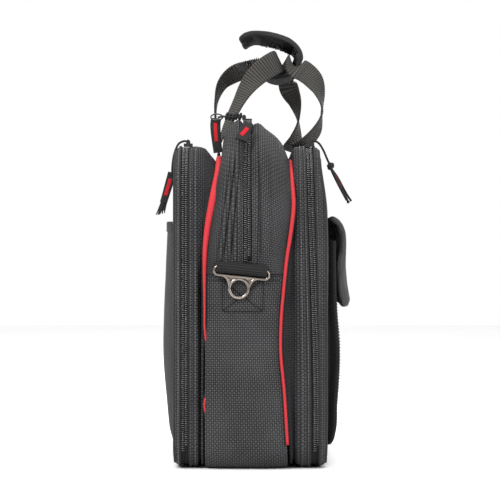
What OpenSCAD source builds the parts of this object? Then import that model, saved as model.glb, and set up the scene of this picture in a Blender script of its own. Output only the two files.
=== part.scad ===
// Soft zip-up tool and laptop bag: a main compartment between two side compartments.
// X runs through the bag's thickness, Y along its length, Z up. The base rests on Z = 0.

/* [Body] */
// Length of the bag, end to end
bag_l = 420; // [380:1:460]
// Height of the top of the main zip above the base
bag_h = 349; // [345:1:350]
// Radius of the body's top corners, seen from the front
top_r = 45; // [40:1:50]
// Radius of the body's bottom corners, seen from the front
bottom_r = 25; // [20:1:30]
// Thickness of the padded fabric of the main compartment
fabric_t = 3.5; // [3:0.1:4]

/* [Side compartments] */
// Outer face of the front cover panel
front_x = 77; // [76:0.5:77.5]
// Outer face of the rear cover panel
rear_x = -76; // [-77:0.5:-75]
// Height of the top of the side compartments
side_h = 324; // [322:1:325]
// Thickness of a cover panel
panel_t = 4; // [3.5:0.1:4]
// Thickness of the side compartments' gussets
gusset_t = 3; // [2.5:0.1:3]
// Height of the covers' bottom edge
cover_z = 21; // [20.5:0.5:22]

/* [Zips] */
// Width of a zip chain
chain_w = 8; // [7:0.5:8]
// Centre of the front compartment's zip
front_zip_x = 61; // [60.5:0.5:61.5]
// Centre of the rear compartment's zip
rear_zip_x = -65.5; // [-66:0.5:-65]
// Centre of the main zip
main_zip_x = -2.5; // [-3:0.5:-2]
// Gap between the two halves of a zip
zip_gap = 0.6; // [0.6:0.1:0.8]
// How far the chain stands out from the fabric
chain_rise = 0.8; // [0.5:0.1:0.8]
// Height at which the main zip ends on each end face
end_zip_z = 208; // [208:1:215]

/* [Pockets] */
// Half length of the front pocket and the slip pocket
pocket_half = 150; // [130:1:152]
// Height of the front pocket's top edge
pocket_top = 231; // [220:1:232]
// Outer face of the front pocket
pocket_x = 88; // [87:0.5:88]
// Height of the slip pocket's top edge
slip_top = 248; // [240:1:250]
// Thickness of the pocket flap
flap_t = 4.4; // [4:0.1:4.4]

/* [Handles] */
// Width of the handle webbing
strap_w = 25; // [20:1:25]
// Thickness of the handle webbing
strap_t = 3; // [2.5:0.1:3]
// Distance from the middle of the bag to a handle leg's outer edge
leg_y = 87; // [84:1:90]
// Length of the padded grip wrap
grip_l = 120; // [100:1:120]
// Thickness of the grip wrap
grip_t = 5; // [4:0.5:5]

/* [End rings] */
// Width of the webbing that holds a ring
tab_w = 50; // [50:1:50]
// Radius of the ring's round eye
eye_r = 7.7; // [7:0.1:8]
// Thickness of the ring
ring_t = 3.3; // [3:0.1:3.4]
// Height of the ring's hinge above the base
ring_z = 201.5; // [201:0.5:204]
// Sideways slope of the webbing loop, in degrees
ring_tilt = 6; // [0:0.5:6]

/* [Hidden] */
$fn = 64;

fabric_grey = [0.20, 0.20, 0.21];
trim_black = [0.07, 0.07, 0.075];
piping_red = [0.80, 0.20, 0.22];
webbing_grey = [0.26, 0.25, 0.24];
metal_grey = [0.55, 0.53, 0.50];
lining_grey = [0.35, 0.35, 0.37];

half_l = bag_l / 2;
side_half = half_l - 5;             // the side compartments are a little shorter
side_z = 3;                         // underside of the side compartments
seam_z = 309;                       // seam below the mouth panels
mouth_half = half_l - top_r - 0.3;  // half length of the moving mouth panels
lower_z = cover_z - 0.5;            // top of the fixed shell below each cover
far_out = 300;                      // reach of a cutting solid

// Seam lines of the main compartment in the XZ plane, from the base up
rear_seam = [[-44.5, -2], [-44.5, 205], [-39.5, 245], [-30, 298], [-30, seam_z]];
front_seam = [[37, -2], [31, 130], [36, 205], [43, 268], [41, seam_z]];
// Arch of the closed mouth, from the rear seam to the front seam
arch = [[-28, 316], [-25.5, 331], [-20, 341], [-12, bag_h - 1], [main_zip_x - 4, bag_h],
        [main_zip_x + 4, bag_h], [7, bag_h - 2.5], [17, 338.5], [33, 323]];
arch_centre = [4, 306];
// Low and high XZ corners of the patches that hold the rear handle
rear_anchor = [[-37, 311], [-32.8, side_h - 1.1]];

// ---- geometry helpers ----

function reversed(p) = [for (i = [len(p) - 1:-1:0]) p[i]];
function shifted(p, dx) = [for (q = p) q + [dx, 0]];
function drawn_in(p, c, d) = [for (q = p) q + d * (c - q) / norm(c - q)];
function unit(v) = v / norm(v);
function tangent(p, i) = unit(p[min(i + 1, len(p) - 1)] - p[max(i - 1, 0)]);
function beside(p, d) = [for (i = [0:len(p) - 1]) p[i] + d * [-tangent(p, i)[1], tangent(p, i)[0]]];
function bezier(a, b, c, d, n) = [for (i = [0:n]) let (t = i / n, s = 1 - t)
    s * s * s * a + 3 * s * s * t * b + 3 * s * t * t * c + t * t * t * d];

// A band of thickness t along the line p
module strip(p, t) polygon(concat(beside(p, -t / 2), reversed(beside(p, t / 2))));

// Extrudes an XZ outline from y0 to y1
module along_y(y0, y1) translate([0, y1, 0]) rotate([90, 0, 0]) linear_extrude(y1 - y0) children();

// A round-cornered outline in the YZ plane
module yz_outline(half, z0, z1, rt, rb) {
    polygon([[-half, z0 + rb], [-half + rb, z0], [half - rb, z0], [half, z0 + rb],
             [half, z1 - rt], [half - rt, z1], [-half + rt, z1], [-half, z1 - rt]]);
    for (s = [-1, 1]) {
        translate([s * (half - rt), z1 - rt]) circle(rt);
        translate([s * (half - rb), z0 + rb]) circle(rb);
    }
}

// A round-cornered plate from x0 to x1
module plate(x0, x1, half, z0, z1, rt, rb)
    translate([x0, 0, 0]) rotate([90, 0, 90]) linear_extrude(x1 - x0) yz_outline(half, z0, z1, rt, rb);

module box(lo, hi) translate(lo) cube(hi - lo);

// The main compartment's outer form, drawn in by d
module main_profile(d) polygon(concat(shifted(rear_seam, d), drawn_in(arch, arch_centre, d),
                                      reversed(shifted(front_seam, -d))));

module main_form(d) intersection() {
    along_y(-far_out, far_out) main_profile(d);
    plate(-100, 100, half_l - d, d, bag_h - d, top_r - d, bottom_r - d);
}

module main_shell() difference() {
    main_form(0);
    main_form(fabric_t);
}

// A side compartment's form, drawn in by d
module side_form(x0, x1, d)
    plate(x0, x1, side_half - d, side_z + d, side_h - d, top_r - d, bottom_r - d);

module side_ring(x0, x1, outer, inner) difference() {
    side_form(x0, x1, outer);
    side_form(x0 - 1, x1 + 1, inner);
}

module above(z) intersection() {
    children();
    box([-far_out, -far_out, z], [far_out, far_out, 600]);
}

module below(z) intersection() {
    children();
    box([-far_out, -far_out, -50], [far_out, far_out, z]);
}

// ---- main compartment ----

module main_bottom() color(fabric_grey) below(lower_z) main_shell();

// Inside of the side walls' outline
module wall_zone() plate(-100, 100, half_l - fabric_t, -1, seam_z, top_r, bottom_r);

module main_wall(x0, x1) intersection() {
    main_shell();
    wall_zone();
    box([x0, -half_l, lower_z], [x1, half_l, seam_z]);
}

module main_rear_wall() color(fabric_grey) main_wall(-100, main_zip_x);
module main_front_wall() color(fabric_grey) main_wall(main_zip_x, 100);

// End face, with the fixed corner of the mouth above it
module end_gusset() difference() {
    above(lower_z) intersection() {
        main_shell();
        box([-100, -half_l - 1, 0], [100, -mouth_half - 0.6, 400]);
    }
    wall_zone();
}

module end_gusset_near() color(fabric_grey) end_gusset();
module end_gusset_far() color(fabric_grey) mirror([0, 1, 0]) end_gusset();

// Red cord in the seams between the compartments, along the ends and the top
module piping(line, dx) difference() {
    above(26) intersection() {
        along_y(-far_out, far_out) strip(shifted(concat(line, [[line[4][0], seam_z + 30]]), dx), 3);
        plate(-100, 100, half_l + 1.6, 1, seam_z + 4.5, top_r, bottom_r);
    }
    plate(-101, 101, half_l, -1, seam_z + 2, top_r - 1.6, bottom_r - 1.6);
    along_y(-far_out, far_out) main_profile(0);
    anchor_blocks(rear_anchor[0], rear_anchor[1]);
}

module rear_piping() color(piping_red) piping(rear_seam, -2.6);
module front_piping() color(piping_red) piping(front_seam, 1.7);

module end_zip() intersection() {
    difference() {
        main_form(-chain_rise);
        main_form(0);
    }
    box([main_zip_x - chain_w / 2, -half_l - 5, end_zip_z],
        [main_zip_x + chain_w / 2, -mouth_half - 0.6, 400]);
}

module end_zip_near() color(trim_black) end_zip();
module end_zip_far() color(trim_black) mirror([0, 1, 0]) end_zip();

module base_board() color(trim_black) box([-38, -half_l + 32, fabric_t], [30, half_l - 32, fabric_t + 3]);

module laptop_divider() color(lining_grey)
    plate(-24, -17, half_l - 25, fabric_t + 3.2, 262, 25, 6);

module divider_strap() color(webbing_grey)
    along_y(-15, 15) strip([[-15.9, 215], [-15.9, 263.2], [-25, 263.2], [-33.5, 250], [-35, 236]], 2);

module organiser_pocket() color(lining_grey)
    plate(17, 20, half_l - 40, fabric_t + 3.2, 150, 8, 8);

// ---- mouth panels and main zip ----

module mouth_part(x0, x1) intersection() {
    children();
    box([x0, -mouth_half, seam_z + 0.4], [x1, mouth_half, 400]);
}

module top_panel_front() color(fabric_grey) mouth_part(main_zip_x + zip_gap / 2, 100) main_shell();
module top_panel_rear() color(fabric_grey) mouth_part(-100, main_zip_x - zip_gap / 2) main_shell();

module raised_chain() difference() {
    main_form(-chain_rise);
    main_form(0);
}

module top_zip_front() color(trim_black)
    mouth_part(main_zip_x + zip_gap / 2, main_zip_x + chain_w / 2) raised_chain();
module top_zip_rear() color(trim_black)
    mouth_part(main_zip_x - chain_w / 2, main_zip_x - zip_gap / 2) raised_chain();

// ---- side compartments ----

// Gusset and top ledge between a side zip and the main compartment
module rear_inner_gusset() color(fabric_grey) difference() {
    union() {
        side_ring(rear_zip_x + chain_w / 2, -40, 0, gusset_t);
        below(289) side_ring(-40, -29, 0, gusset_t);
        along_y(-mouth_half, mouth_half) strip([[-40, side_h - 1.5], [-37.6, 315], [-36.2, 303]], 1.8);
    }
    along_y(-far_out, far_out) main_profile(0);
    anchor_blocks(rear_anchor[0], rear_anchor[1]);
}

module front_inner_gusset() color(fabric_grey) difference() {
    union() {
        side_ring(46, front_zip_x - chain_w / 2, 0, gusset_t);
        below(290) side_ring(31, 46, 0, gusset_t);
        along_y(-mouth_half, mouth_half) strip([[47, side_h - 1.5], [46, 314], [43.9, 302]], 1.6);
    }
    along_y(-far_out, far_out) main_profile(0);
}

// Fixed shell below a cover
module lower_shell(x0, x1, lip0, lip1) below(lower_z) difference() {
    side_form(x0, x1, 0);
    side_form(lip0, lip1, gusset_t);
}

module rear_lower_shell() color(fabric_grey)
    lower_shell(rear_x, rear_zip_x + chain_w / 2, rear_x + panel_t, 0);
module front_lower_shell() color(fabric_grey)
    lower_shell(front_zip_x - chain_w / 2, front_x, 0, front_x - panel_t);

module side_chain(x0, x1, z) above(z) side_ring(x0, x1, -chain_rise, gusset_t - 0.5);

module rear_inner_zip() color(trim_black)
    side_chain(rear_zip_x + zip_gap / 2, rear_zip_x + chain_w / 2, lower_z);
module front_inner_zip() color(trim_black)
    side_chain(front_zip_x - chain_w / 2, front_zip_x - zip_gap / 2, lower_z);
module rear_outer_zip() color(trim_black)
    side_chain(rear_zip_x - chain_w / 2, rear_zip_x - zip_gap / 2, cover_z);
module front_outer_zip() color(trim_black)
    side_chain(front_zip_x + zip_gap / 2, front_zip_x + chain_w / 2, cover_z);

module front_panel() color(fabric_grey) above(cover_z) side_form(front_x - panel_t, front_x, 0);
module rear_panel() color(fabric_grey) above(cover_z) side_form(rear_x, rear_x + panel_t, 0);
module front_outer_gusset() color(fabric_grey)
    above(cover_z) side_ring(front_zip_x + chain_w / 2, front_x - panel_t, 0, gusset_t);
module rear_outer_gusset() color(fabric_grey)
    above(cover_z) side_ring(rear_x + panel_t, rear_zip_x - chain_w / 2, 0, gusset_t);

// ---- front pocket and flap ----

pocket_wall = 2.5;
pocket_z = 26;
bellows_x = pocket_x - 3;

module pocket_bellows() color(trim_black) difference() {
    plate(front_x, bellows_x, pocket_half, pocket_z, pocket_top, 6, 12);
    plate(front_x - 1, bellows_x + 1, pocket_half - pocket_wall, pocket_z + pocket_wall,
          pocket_top + 40, 3, 12 - pocket_wall);
}

module pocket_panel() color(fabric_grey)
    plate(bellows_x, pocket_x, pocket_half, pocket_z, pocket_top, 6, 12);

module pocket_corner_tabs() color(piping_red) for (s = [-1, 1])
    translate([front_x, s * (pocket_half + 1.2), pocket_top - 20]) translate([0, -1.2, 0]) cube([2, 2.4, 19]);

patch_z = 168;
patch_h = 16;
patch_y = [-95, 95];
patch_l = 40;

module pocket_hook_patches() color(trim_black) for (y = patch_y)
    box([pocket_x, y - patch_l / 2, patch_z], [pocket_x + 1.2, y + patch_l / 2, patch_z + patch_h]);

flap_line = [[81, 253.5], [87.5, 250], [91.8, 243], [93, 228], [91.6, 207], [93, 188], [97.4, 163]];

module pocket_flap() color(fabric_grey) along_y(-pocket_half - 2, pocket_half + 2) strip(flap_line, flap_t);

module flap_loop_patches() color(trim_black) for (y = patch_y)
    along_y(y - patch_l / 2, y + patch_l / 2) difference() {
        strip(beside([flap_line[5], flap_line[6]], -flap_t / 2 - 0.6), 1);
        square([200, patch_z]);
    }

// ---- rear slip pocket ----

slip_bulge = [-87, 135];
slip_edge = [-82, slip_top];
function slip_x(z) = slip_edge[0] + (slip_bulge[0] - slip_edge[0]) * (slip_top - z) / (slip_top - slip_bulge[1]);

module slip_pocket() color(lining_grey) difference() {
    along_y(-pocket_half, pocket_half)
        polygon([[rear_x, 24], [-80, 26], slip_bulge, slip_edge, [rear_x, slip_top]]);
    along_y(-pocket_half + pocket_wall, pocket_half - pocket_wall)
        polygon([[rear_x + 1, 27.5], [-78, 29], slip_bulge + [pocket_wall, 0],
                 slip_edge + [1.6, 1], [rear_x + 1, slip_top + 1]]);
}

module slip_pocket_hem() color(trim_black) along_y(-pocket_half + 3, pocket_half - 3)
    polygon([[slip_x(slip_top), slip_top], [slip_x(slip_top) - 1.2, slip_top],
             [slip_x(slip_top - 11) - 1.2, slip_top - 11], [slip_x(slip_top - 11), slip_top - 11]]);

// ---- sliders and pulls ----

slider_l = 12;
slider_w = 9;
park_y = -half_l + top_r;           // sliders are parked where the top meets the corner

// Slider with two ears; the puller's eye sits between them, on an axis along Y
module slider(eye) {
    translate([-slider_w / 2, -slider_l / 2, 0]) cube([slider_w, slider_l, 3]);
    for (s = [-1, 1]) translate([eye, s * 4, 0]) {
        translate([-2, -1, 2]) cube([4, 2, 3]);
        translate([0, 1, 5]) rotate([90, 0, 0]) cylinder(h = 2, r = 2);
    }
}

slider_z = side_h + chain_rise + 0.6;
front_eye = [front_zip_x, slider_z + 5];
rear_eye = [rear_zip_x + 2.5, slider_z + 5];

module front_slider() color(metal_grey) translate([front_zip_x, park_y, slider_z]) slider(0);
module rear_slider() color(metal_grey) translate([rear_zip_x + 2.5, park_y, slider_z]) slider(0);

// Flat pull parts drawn in the XZ plane, w wide along Y about y
module pull_part(line, t, y, w) along_y(y - w / 2, y + w / 2) strip(line, t);

module eye_part(eye, y) along_y(y - 2.6, y + 2.6) translate(eye) circle(1.4);

front_tab_top = [80.5, 310];
rear_tab_top = [-80, 306];

module front_puller() color(metal_grey) {
    eye_part(front_eye, park_y);
    pull_part([front_eye, [74, side_h + 7.5], [80, side_h + 1], front_tab_top + [0, 0.5]], 1.6, park_y, 5);
}
module rear_puller() color(metal_grey) {
    eye_part(rear_eye, park_y);
    pull_part([rear_eye, [-75, side_h + 7.5], [-79.6, side_h], rear_tab_top + [0, 0.5]], 1.6, park_y, 5);
}

// Fabric tab that ends in two tails
module tab_with_tails(line, t, y, w) difference() {
    pull_part(line, t, y, w);
    pull_part([line[len(line) - 2] * 0.4 + line[len(line) - 1] * 0.6, line[len(line) - 1] * 2 - line[len(line) - 2]],
              t + 2, y, 1);
}

module front_pull_tab() color(trim_black)
    tab_with_tails([front_tab_top, [85, 296], [99, 270]], 3.5, park_y, 8);
module rear_pull_tab() color(trim_black)
    tab_with_tails([rear_tab_top, [-81.5, 290], [-88, 259]], 3, park_y, 8);

// Main sliders: a runs round the near corner, b along the top
turn_a = 24;                        // where slider a is parked round the corner, in degrees
slope_a = 45;                       // slope of its pull, in degrees
eye_a = [-3.5, 5.2];                // its eye, along and above the chain
b_y = park_y - 7;
main_top = bag_h + chain_rise + 0.5;
b_eye = [main_zip_x - 3.5, main_top + 5];

module at_corner(angle) translate([main_zip_x, -half_l + top_r, bag_h - top_r]) rotate([angle, 0, 0])
    translate([0, 0, top_r + chain_rise + 0.5]) children();

module main_slider_a() color(metal_grey) at_corner(turn_a) {
    translate([-slider_w / 2, -5, 0.4]) cube([slider_w, 10, 2.6]);
    for (s = [-1, 1]) translate([s * 3.6, eye_a[0], 0]) {
        translate([-0.8, -1.6, 2]) cube([1.6, 3.2, eye_a[1] - 2]);
        translate([-0.8, 0, eye_a[1]]) rotate([0, 90, 0]) cylinder(h = 1.6, r = 1.6);
    }
}

// Pull a hangs from its eye, which lies across the zip, and slopes down over the corner
module pull_a_frame() at_corner(turn_a) translate([0, eye_a[0], eye_a[1]])
    rotate([slope_a - turn_a, 0, 0]) children();

module main_puller_a() color(metal_grey) pull_a_frame() {
    rotate([0, 90, 0]) translate([0, 0, -2.4]) cylinder(h = 4.8, r = 1.2);
    translate([-2.4, -11, -0.8]) cube([4.8, 11, 1.6]);
}
module main_tab_a() color(trim_black) pull_a_frame() difference() {
    translate([-6, -29, -1.5]) cube([12, 17.8, 3]);
    translate([-0.6, -30, -2]) cube([1.2, 9, 4]);
}

module main_slider_b() color(metal_grey) translate([main_zip_x, b_y, main_top]) slider(-3.5);
module main_puller_b() color(metal_grey) {
    eye_part(b_eye, b_y);
    pull_part([b_eye, b_eye + [-22, 0.5], b_eye + [-27, -0.6]], 1.8, b_y, 5);
}
module main_tab_b() color(trim_black)
    tab_with_tails([b_eye + [-28.4, -2.4], b_eye + [-29.2, -9], b_eye + [-26.5, -35]], 3, b_y, 9);

// ---- handles ----

rear_pivot = [-34.5, side_h + 1];
front_pivot = [46.5, side_h + 4.5];
rear_grip = [27, 423];
front_grip = [36.5, 436];
grip_bar_w = 22;
grip_bar_t = 4;
rear_leg_line = bezier(rear_pivot, [-35, 361], [-8.5, 396], rear_grip - [4, 0], 12);
front_leg_line = bezier(front_pivot, [70, 346], [104, 382], front_grip + [8, 0], 12);

// Sewn patches that hold the handle legs
module anchor_blocks(lo, hi) for (s = [-1, 1])
    box([lo[0], s * (leg_y - strap_w / 2) - strap_w / 2 - 2, lo[1]],
        [hi[0], s * (leg_y - strap_w / 2) + strap_w / 2 + 2, hi[1]]);

module rear_handle_anchors() color(webbing_grey) anchor_blocks(rear_anchor[0], rear_anchor[1]);
module front_handle_anchors() color(webbing_grey) anchor_blocks([44.6, side_h], [49, side_h + 2.5]);

module handle(pivot, line, grip) {
    for (s = [-1, 1]) along_y(s * (leg_y - strap_w / 2) - strap_w / 2, s * (leg_y - strap_w / 2) + strap_w / 2) {
        strip(line, strap_t);
        translate(pivot) circle(strap_t / 2);
    }
    box([grip[0] - grip_bar_w / 2, -leg_y, grip[1] - grip_bar_t / 2],
        [grip[0] + grip_bar_w / 2, leg_y, grip[1] + grip_bar_t / 2]);
}

module rear_handle() color(webbing_grey) handle(rear_pivot, rear_leg_line, rear_grip);
module front_handle() color(webbing_grey) handle(front_pivot, front_leg_line, front_grip);

module grip_wrap() color(trim_black) along_y(-grip_l / 2, grip_l / 2) {
    strip(bezier([51, 438], [60, 410], [21, 382.5], [-15, 416.5], 14), grip_t);
    translate([-14.5, 416]) circle(grip_t / 2 - 0.1);
}

module grip_flap() color(trim_black) along_y(-grip_l / 2, grip_l / 2) {
    strip(bezier([48.6, 443.3], [40.6, 455], [15, 457], [-10.7, 444.4], 12), grip_t);
    translate([-10, 444.7]) circle(grip_t / 2 - 0.1);
}

// ---- end tabs and rings ----

slot_w = tab_w + 0.8;
roll_r = 6;
bar_r = ring_t / 2 * sqrt(2);        // the square bar's corners
roll_y = -half_l - roll_r - 1;
ring_x = -8;

module tilted() translate([ring_x, roll_y, ring_z]) rotate([0, ring_tilt, 0]) children();

// Webbing folded through the ring and sewn down below it
module end_tab() {
    difference() {
        union() {
            tilted() translate([-tab_w / 2, 0, 0]) rotate([0, 90, 0]) cylinder(h = tab_w, r = roll_r);
            intersection() {
                tilted() box([-tab_w / 2, 0, -roll_r], [tab_w / 2, 10, roll_r]);
                box([-100, roll_y, 150], [100, -half_l, 260]);
            }
        }
        tilted() translate([-tab_w, 0, 0]) rotate([0, 90, 0]) cylinder(h = tab_w * 2, r = bar_r + 0.35);
    }
    box([ring_x - tab_w / 2, -half_l - 3, ring_z - 50], [ring_x + tab_w / 2, -half_l, ring_z - 2]);
}

module end_tab_near() color(webbing_grey) end_tab();
module end_tab_far() color(webbing_grey) mirror([0, 1, 0]) end_tab();

// Flat ring: a slot for the webbing and a round eye below it
module ring_outline() difference() {
    union() {
        translate([-slot_w / 2 - 3.8, -ring_t - 6.9]) square([slot_w + 7.6, ring_t * 1.5 + 6.9]);
        translate([-1, -20]) circle(eye_r + ring_t);
        polygon([[-10, -15], [8, -15], [16, -8.5], [-18, -8.5]]);
    }
    translate([-slot_w / 2, -ring_t / 2 - 5.3]) square([slot_w, 5.3]);
    translate([-1, -20]) circle(eye_r);
}

module ring() tilted() translate([0, ring_t / 2, 0]) rotate([90, 0, 0]) linear_extrude(ring_t) ring_outline();

module ring_near() color(metal_grey) ring();
module ring_far() color(metal_grey) mirror([0, 1, 0]) ring();

main_bottom();
main_rear_wall();
main_front_wall();
end_gusset_near();
end_gusset_far();
rear_piping();
front_piping();
rear_inner_gusset();
front_inner_gusset();
rear_lower_shell();
front_lower_shell();
rear_inner_zip();
front_inner_zip();
end_zip_near();
end_zip_far();
end_tab_near();
end_tab_far();
rear_handle_anchors();
front_handle_anchors();
base_board();
laptop_divider();
divider_strap();
organiser_pocket();
top_panel_front();
top_zip_front();
top_panel_rear();
top_zip_rear();
front_panel();
front_outer_gusset();
front_outer_zip();
pocket_bellows();
pocket_panel();
pocket_corner_tabs();
pocket_hook_patches();
rear_panel();
rear_outer_gusset();
rear_outer_zip();
slip_pocket();
slip_pocket_hem();
pocket_flap();
flap_loop_patches();
front_slider();
front_puller();
front_pull_tab();
rear_slider();
rear_puller();
rear_pull_tab();
main_slider_a();
main_puller_a();
main_tab_a();
main_slider_b();
main_puller_b();
main_tab_b();
rear_handle();
front_handle();
grip_wrap();
grip_flap();
ring_near();
ring_far();
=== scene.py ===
import math
import bmesh
import bpy
import numpy as np
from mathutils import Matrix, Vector, noise

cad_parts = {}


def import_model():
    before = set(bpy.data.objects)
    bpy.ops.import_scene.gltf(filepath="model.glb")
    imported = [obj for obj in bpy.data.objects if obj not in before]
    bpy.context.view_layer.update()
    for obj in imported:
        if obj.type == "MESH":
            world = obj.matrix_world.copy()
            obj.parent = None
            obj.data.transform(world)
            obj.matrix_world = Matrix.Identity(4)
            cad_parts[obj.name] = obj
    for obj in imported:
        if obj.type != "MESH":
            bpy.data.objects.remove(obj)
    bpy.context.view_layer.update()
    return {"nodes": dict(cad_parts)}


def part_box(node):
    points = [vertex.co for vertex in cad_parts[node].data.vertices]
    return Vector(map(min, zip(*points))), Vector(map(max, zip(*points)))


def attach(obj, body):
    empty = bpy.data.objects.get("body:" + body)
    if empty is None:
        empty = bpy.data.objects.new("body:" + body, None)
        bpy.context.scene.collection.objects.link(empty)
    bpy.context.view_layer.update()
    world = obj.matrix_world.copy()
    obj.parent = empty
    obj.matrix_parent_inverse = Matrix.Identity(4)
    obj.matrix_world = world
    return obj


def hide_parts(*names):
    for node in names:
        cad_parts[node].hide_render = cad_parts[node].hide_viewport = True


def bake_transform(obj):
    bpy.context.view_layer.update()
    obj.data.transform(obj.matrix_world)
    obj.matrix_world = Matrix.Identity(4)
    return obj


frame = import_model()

MM = 0.001                      # the script's own sizes are in millimetres

# ---- camera and stage ----------------------------------------------------

scene = bpy.context.scene
NEAR_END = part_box("main_bottom")[0][1]      # plane of the near end face
CAMERA_AWAY = 2.2                           # from the near end face to the camera
CAMERA_HEIGHT = 0.220
FRAME_WIDTH = 0.500                         # width seen at the near end face
SENSOR = 36.0


def set_camera():
    data = bpy.data.cameras.new("camera")
    data.sensor_width = SENSOR
    data.lens = SENSOR * CAMERA_AWAY / FRAME_WIDTH
    camera = bpy.data.objects.new("camera", data)
    camera.location = (0, NEAR_END - CAMERA_AWAY, CAMERA_HEIGHT)
    camera.rotation_euler = (math.radians(90), 0, 0)
    scene.collection.objects.link(camera)
    scene.camera = camera


def area_light(name, place, aim, size, power):
    data = bpy.data.lights.new(name, "AREA")
    data.shape = "SQUARE"
    data.size = size
    data.energy = power
    lamp = bpy.data.objects.new(name, data)
    lamp.location = place
    lamp.rotation_euler = (Vector(aim) - Vector(place)).to_track_quat("-Z", "Y").to_euler()
    scene.collection.objects.link(lamp)


set_camera()
area_light("key", (-1.3, -1.9, 1.9), (0, 0, 0.2), 0.8, 58)
area_light("fill", (1.8, -1.6, 1.0), (0, 0, 0.2), 1.4, 14)
area_light("top", (0, 0.1, 2.2), (0, 0, 0), 1.6, 34)
area_light("back", (0.6, 2.2, 1.3), (0, 0, 0.2), 1.4, 30)

world = bpy.data.worlds.new("studio")
world.use_nodes = True
world.node_tree.nodes["Background"].inputs["Color"].default_value = (1, 1, 1, 1)
world.node_tree.nodes["Background"].inputs["Strength"].default_value = 1.0
scene.world = world
scene.view_settings.view_transform = "Standard"

# ---- small maths ---------------------------------------------------------


def lerp(a, b, t):
    return a + (b - a) * t


def ease(x, lo, hi):
    t = np.clip((np.asarray(x, float) - lo) / (hi - lo), 0, 1)
    return t * t * (3 - 2 * t)


def bump(x, centre, width):
    return np.exp(-((np.asarray(x, float) - centre) / width) ** 2)


def smooth_curve(knots):
    """A function through (position, value) knots, with no kinks."""
    at, value = np.array(sorted(knots), float).T
    slope = np.gradient(value, at)

    def evaluate(x):
        x = np.clip(np.asarray(x, float), at[0], at[-1])
        i = np.clip(np.searchsorted(at, x) - 1, 0, len(at) - 2)
        h = at[i + 1] - at[i]
        t = (x - at[i]) / h
        return (value[i] * (1 + 2 * t) * (1 - t) ** 2 + slope[i] * h * t * (1 - t) ** 2
                + value[i + 1] * t * t * (3 - 2 * t) + slope[i + 1] * h * t * t * (t - 1))
    return evaluate


def bezier(points, count):
    """A smooth line through 3D control points (Catmull-Rom), with count samples."""
    p = np.array(points, float)
    p = np.vstack([2 * p[0] - p[1], p, 2 * p[-1] - p[-2]])
    spans = len(p) - 3
    out = []
    for s in np.linspace(0, spans - 1e-9, count):
        i = int(s)
        t = s - i
        a, b, c, d = p[i:i + 4]
        out.append(0.5 * (2 * b + (c - a) * t + (2 * a - 5 * b + 4 * c - d) * t ** 2
                          + (3 * b - a - 3 * c + d) * t ** 3))
    return np.array(out)


def soft_noise(points, scale, seed):
    """Smooth noise for an array of points in mm; scale is the size of its lumps, one or three numbers."""
    flat = (np.asarray(points, float).reshape(-1, 3) / scale) + seed * 17.3
    values = [noise.noise(Vector(v)) for v in flat]
    return np.array(values).reshape(np.asarray(points).shape[:-1])


def unit(v):
    return v / np.maximum(np.linalg.norm(v, axis=-1, keepdims=True), 1e-9)


def tangents(p, closed=False):
    if closed:
        return unit(np.roll(p, -1, 0) - np.roll(p, 1, 0))
    return unit(np.gradient(p, axis=0))


def lengths(p):
    step = np.linalg.norm(np.diff(p, axis=0), axis=-1)
    return np.concatenate([[0], np.cumsum(step)])


def circle(count):
    """Angles at an even pitch round a circle."""
    return np.linspace(0, 2 * math.pi, count, endpoint=False)


def box_mm(node):
    """The low and high corners of a CAD node's box, in mm."""
    return [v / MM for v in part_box(node)]


def swept_line(line, count):
    """An XZ line as points at y = 0, with its tangents and the way its left side faces."""
    mid = bezier([(x, 0, z) for x, z in line], count)
    t = tangents(mid)
    return mid, t, np.column_stack([-t[:, 2], np.zeros(count), t[:, 0]])


# ---- mesh makers ---------------------------------------------------------


def mesh_object(name, verts, faces, material, uvs=None):
    """A mesh from mm points. uvs holds one (across, along) pair in mm for each corner of each face."""
    data = bpy.data.meshes.new(name)
    data.from_pydata((np.asarray(verts, float) * MM).tolist(), [], [tuple(f) for f in faces])
    data.polygons.foreach_set("use_smooth", [True] * len(data.polygons))
    if uvs is not None:
        layer = data.uv_layers.new(name="cloth")
        layer.data.foreach_set("uv", np.asarray(uvs, np.float32).reshape(-1))
    data.materials.append(material)
    data.validate()
    data.update()
    obj = bpy.data.objects.new(name, data)
    scene.collection.objects.link(obj)
    return obj


def grid_object(name, points, material, wrap_rows=False, wrap_cols=False):
    """A quad surface from an array of rows of points, with cloth coordinates in mm."""
    p = np.asarray(points, float)
    rows, cols = p.shape[:2]
    far_rows = rows if wrap_rows else rows - 1
    far_cols = cols if wrap_cols else cols - 1
    mid_row, mid_col = p[rows // 2], p[:, cols // 2]
    if wrap_cols:
        mid_row = np.vstack([mid_row, mid_row[:1]])
    if wrap_rows:
        mid_col = np.vstack([mid_col, mid_col[:1]])
    across, along = lengths(mid_row), lengths(mid_col)
    faces, uvs = [], []
    for i in range(far_rows):
        for j in range(far_cols):
            i1, j1 = (i + 1) % rows, (j + 1) % cols
            faces.append((i * cols + j, i * cols + j1, i1 * cols + j1, i1 * cols + j))
            uvs += [(across[j], along[i]), (across[j + 1], along[i]),
                    (across[j + 1], along[i + 1]), (across[j], along[i + 1])]
    return mesh_object(name, p.reshape(-1, 3), faces, material, uvs)


def add_modifier(obj, kind, **settings):
    modifier = obj.modifiers.new(kind.lower(), kind)
    for key, value in settings.items():
        setattr(modifier, key, value)
    return modifier


def apply_modifiers(obj):
    graph = bpy.context.evaluated_depsgraph_get()
    data = bpy.data.meshes.new_from_object(obj.evaluated_get(graph))
    obj.modifiers.clear()
    obj.data = data


def thicken(obj, mm, bevel=0.0):
    add_modifier(obj, "SOLIDIFY", thickness=mm * MM, offset=0.0, use_even_offset=False)
    if bevel:
        add_modifier(obj, "BEVEL", width=bevel * MM, segments=2, limit_method="ANGLE")
    apply_modifiers(obj)
    return obj


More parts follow.
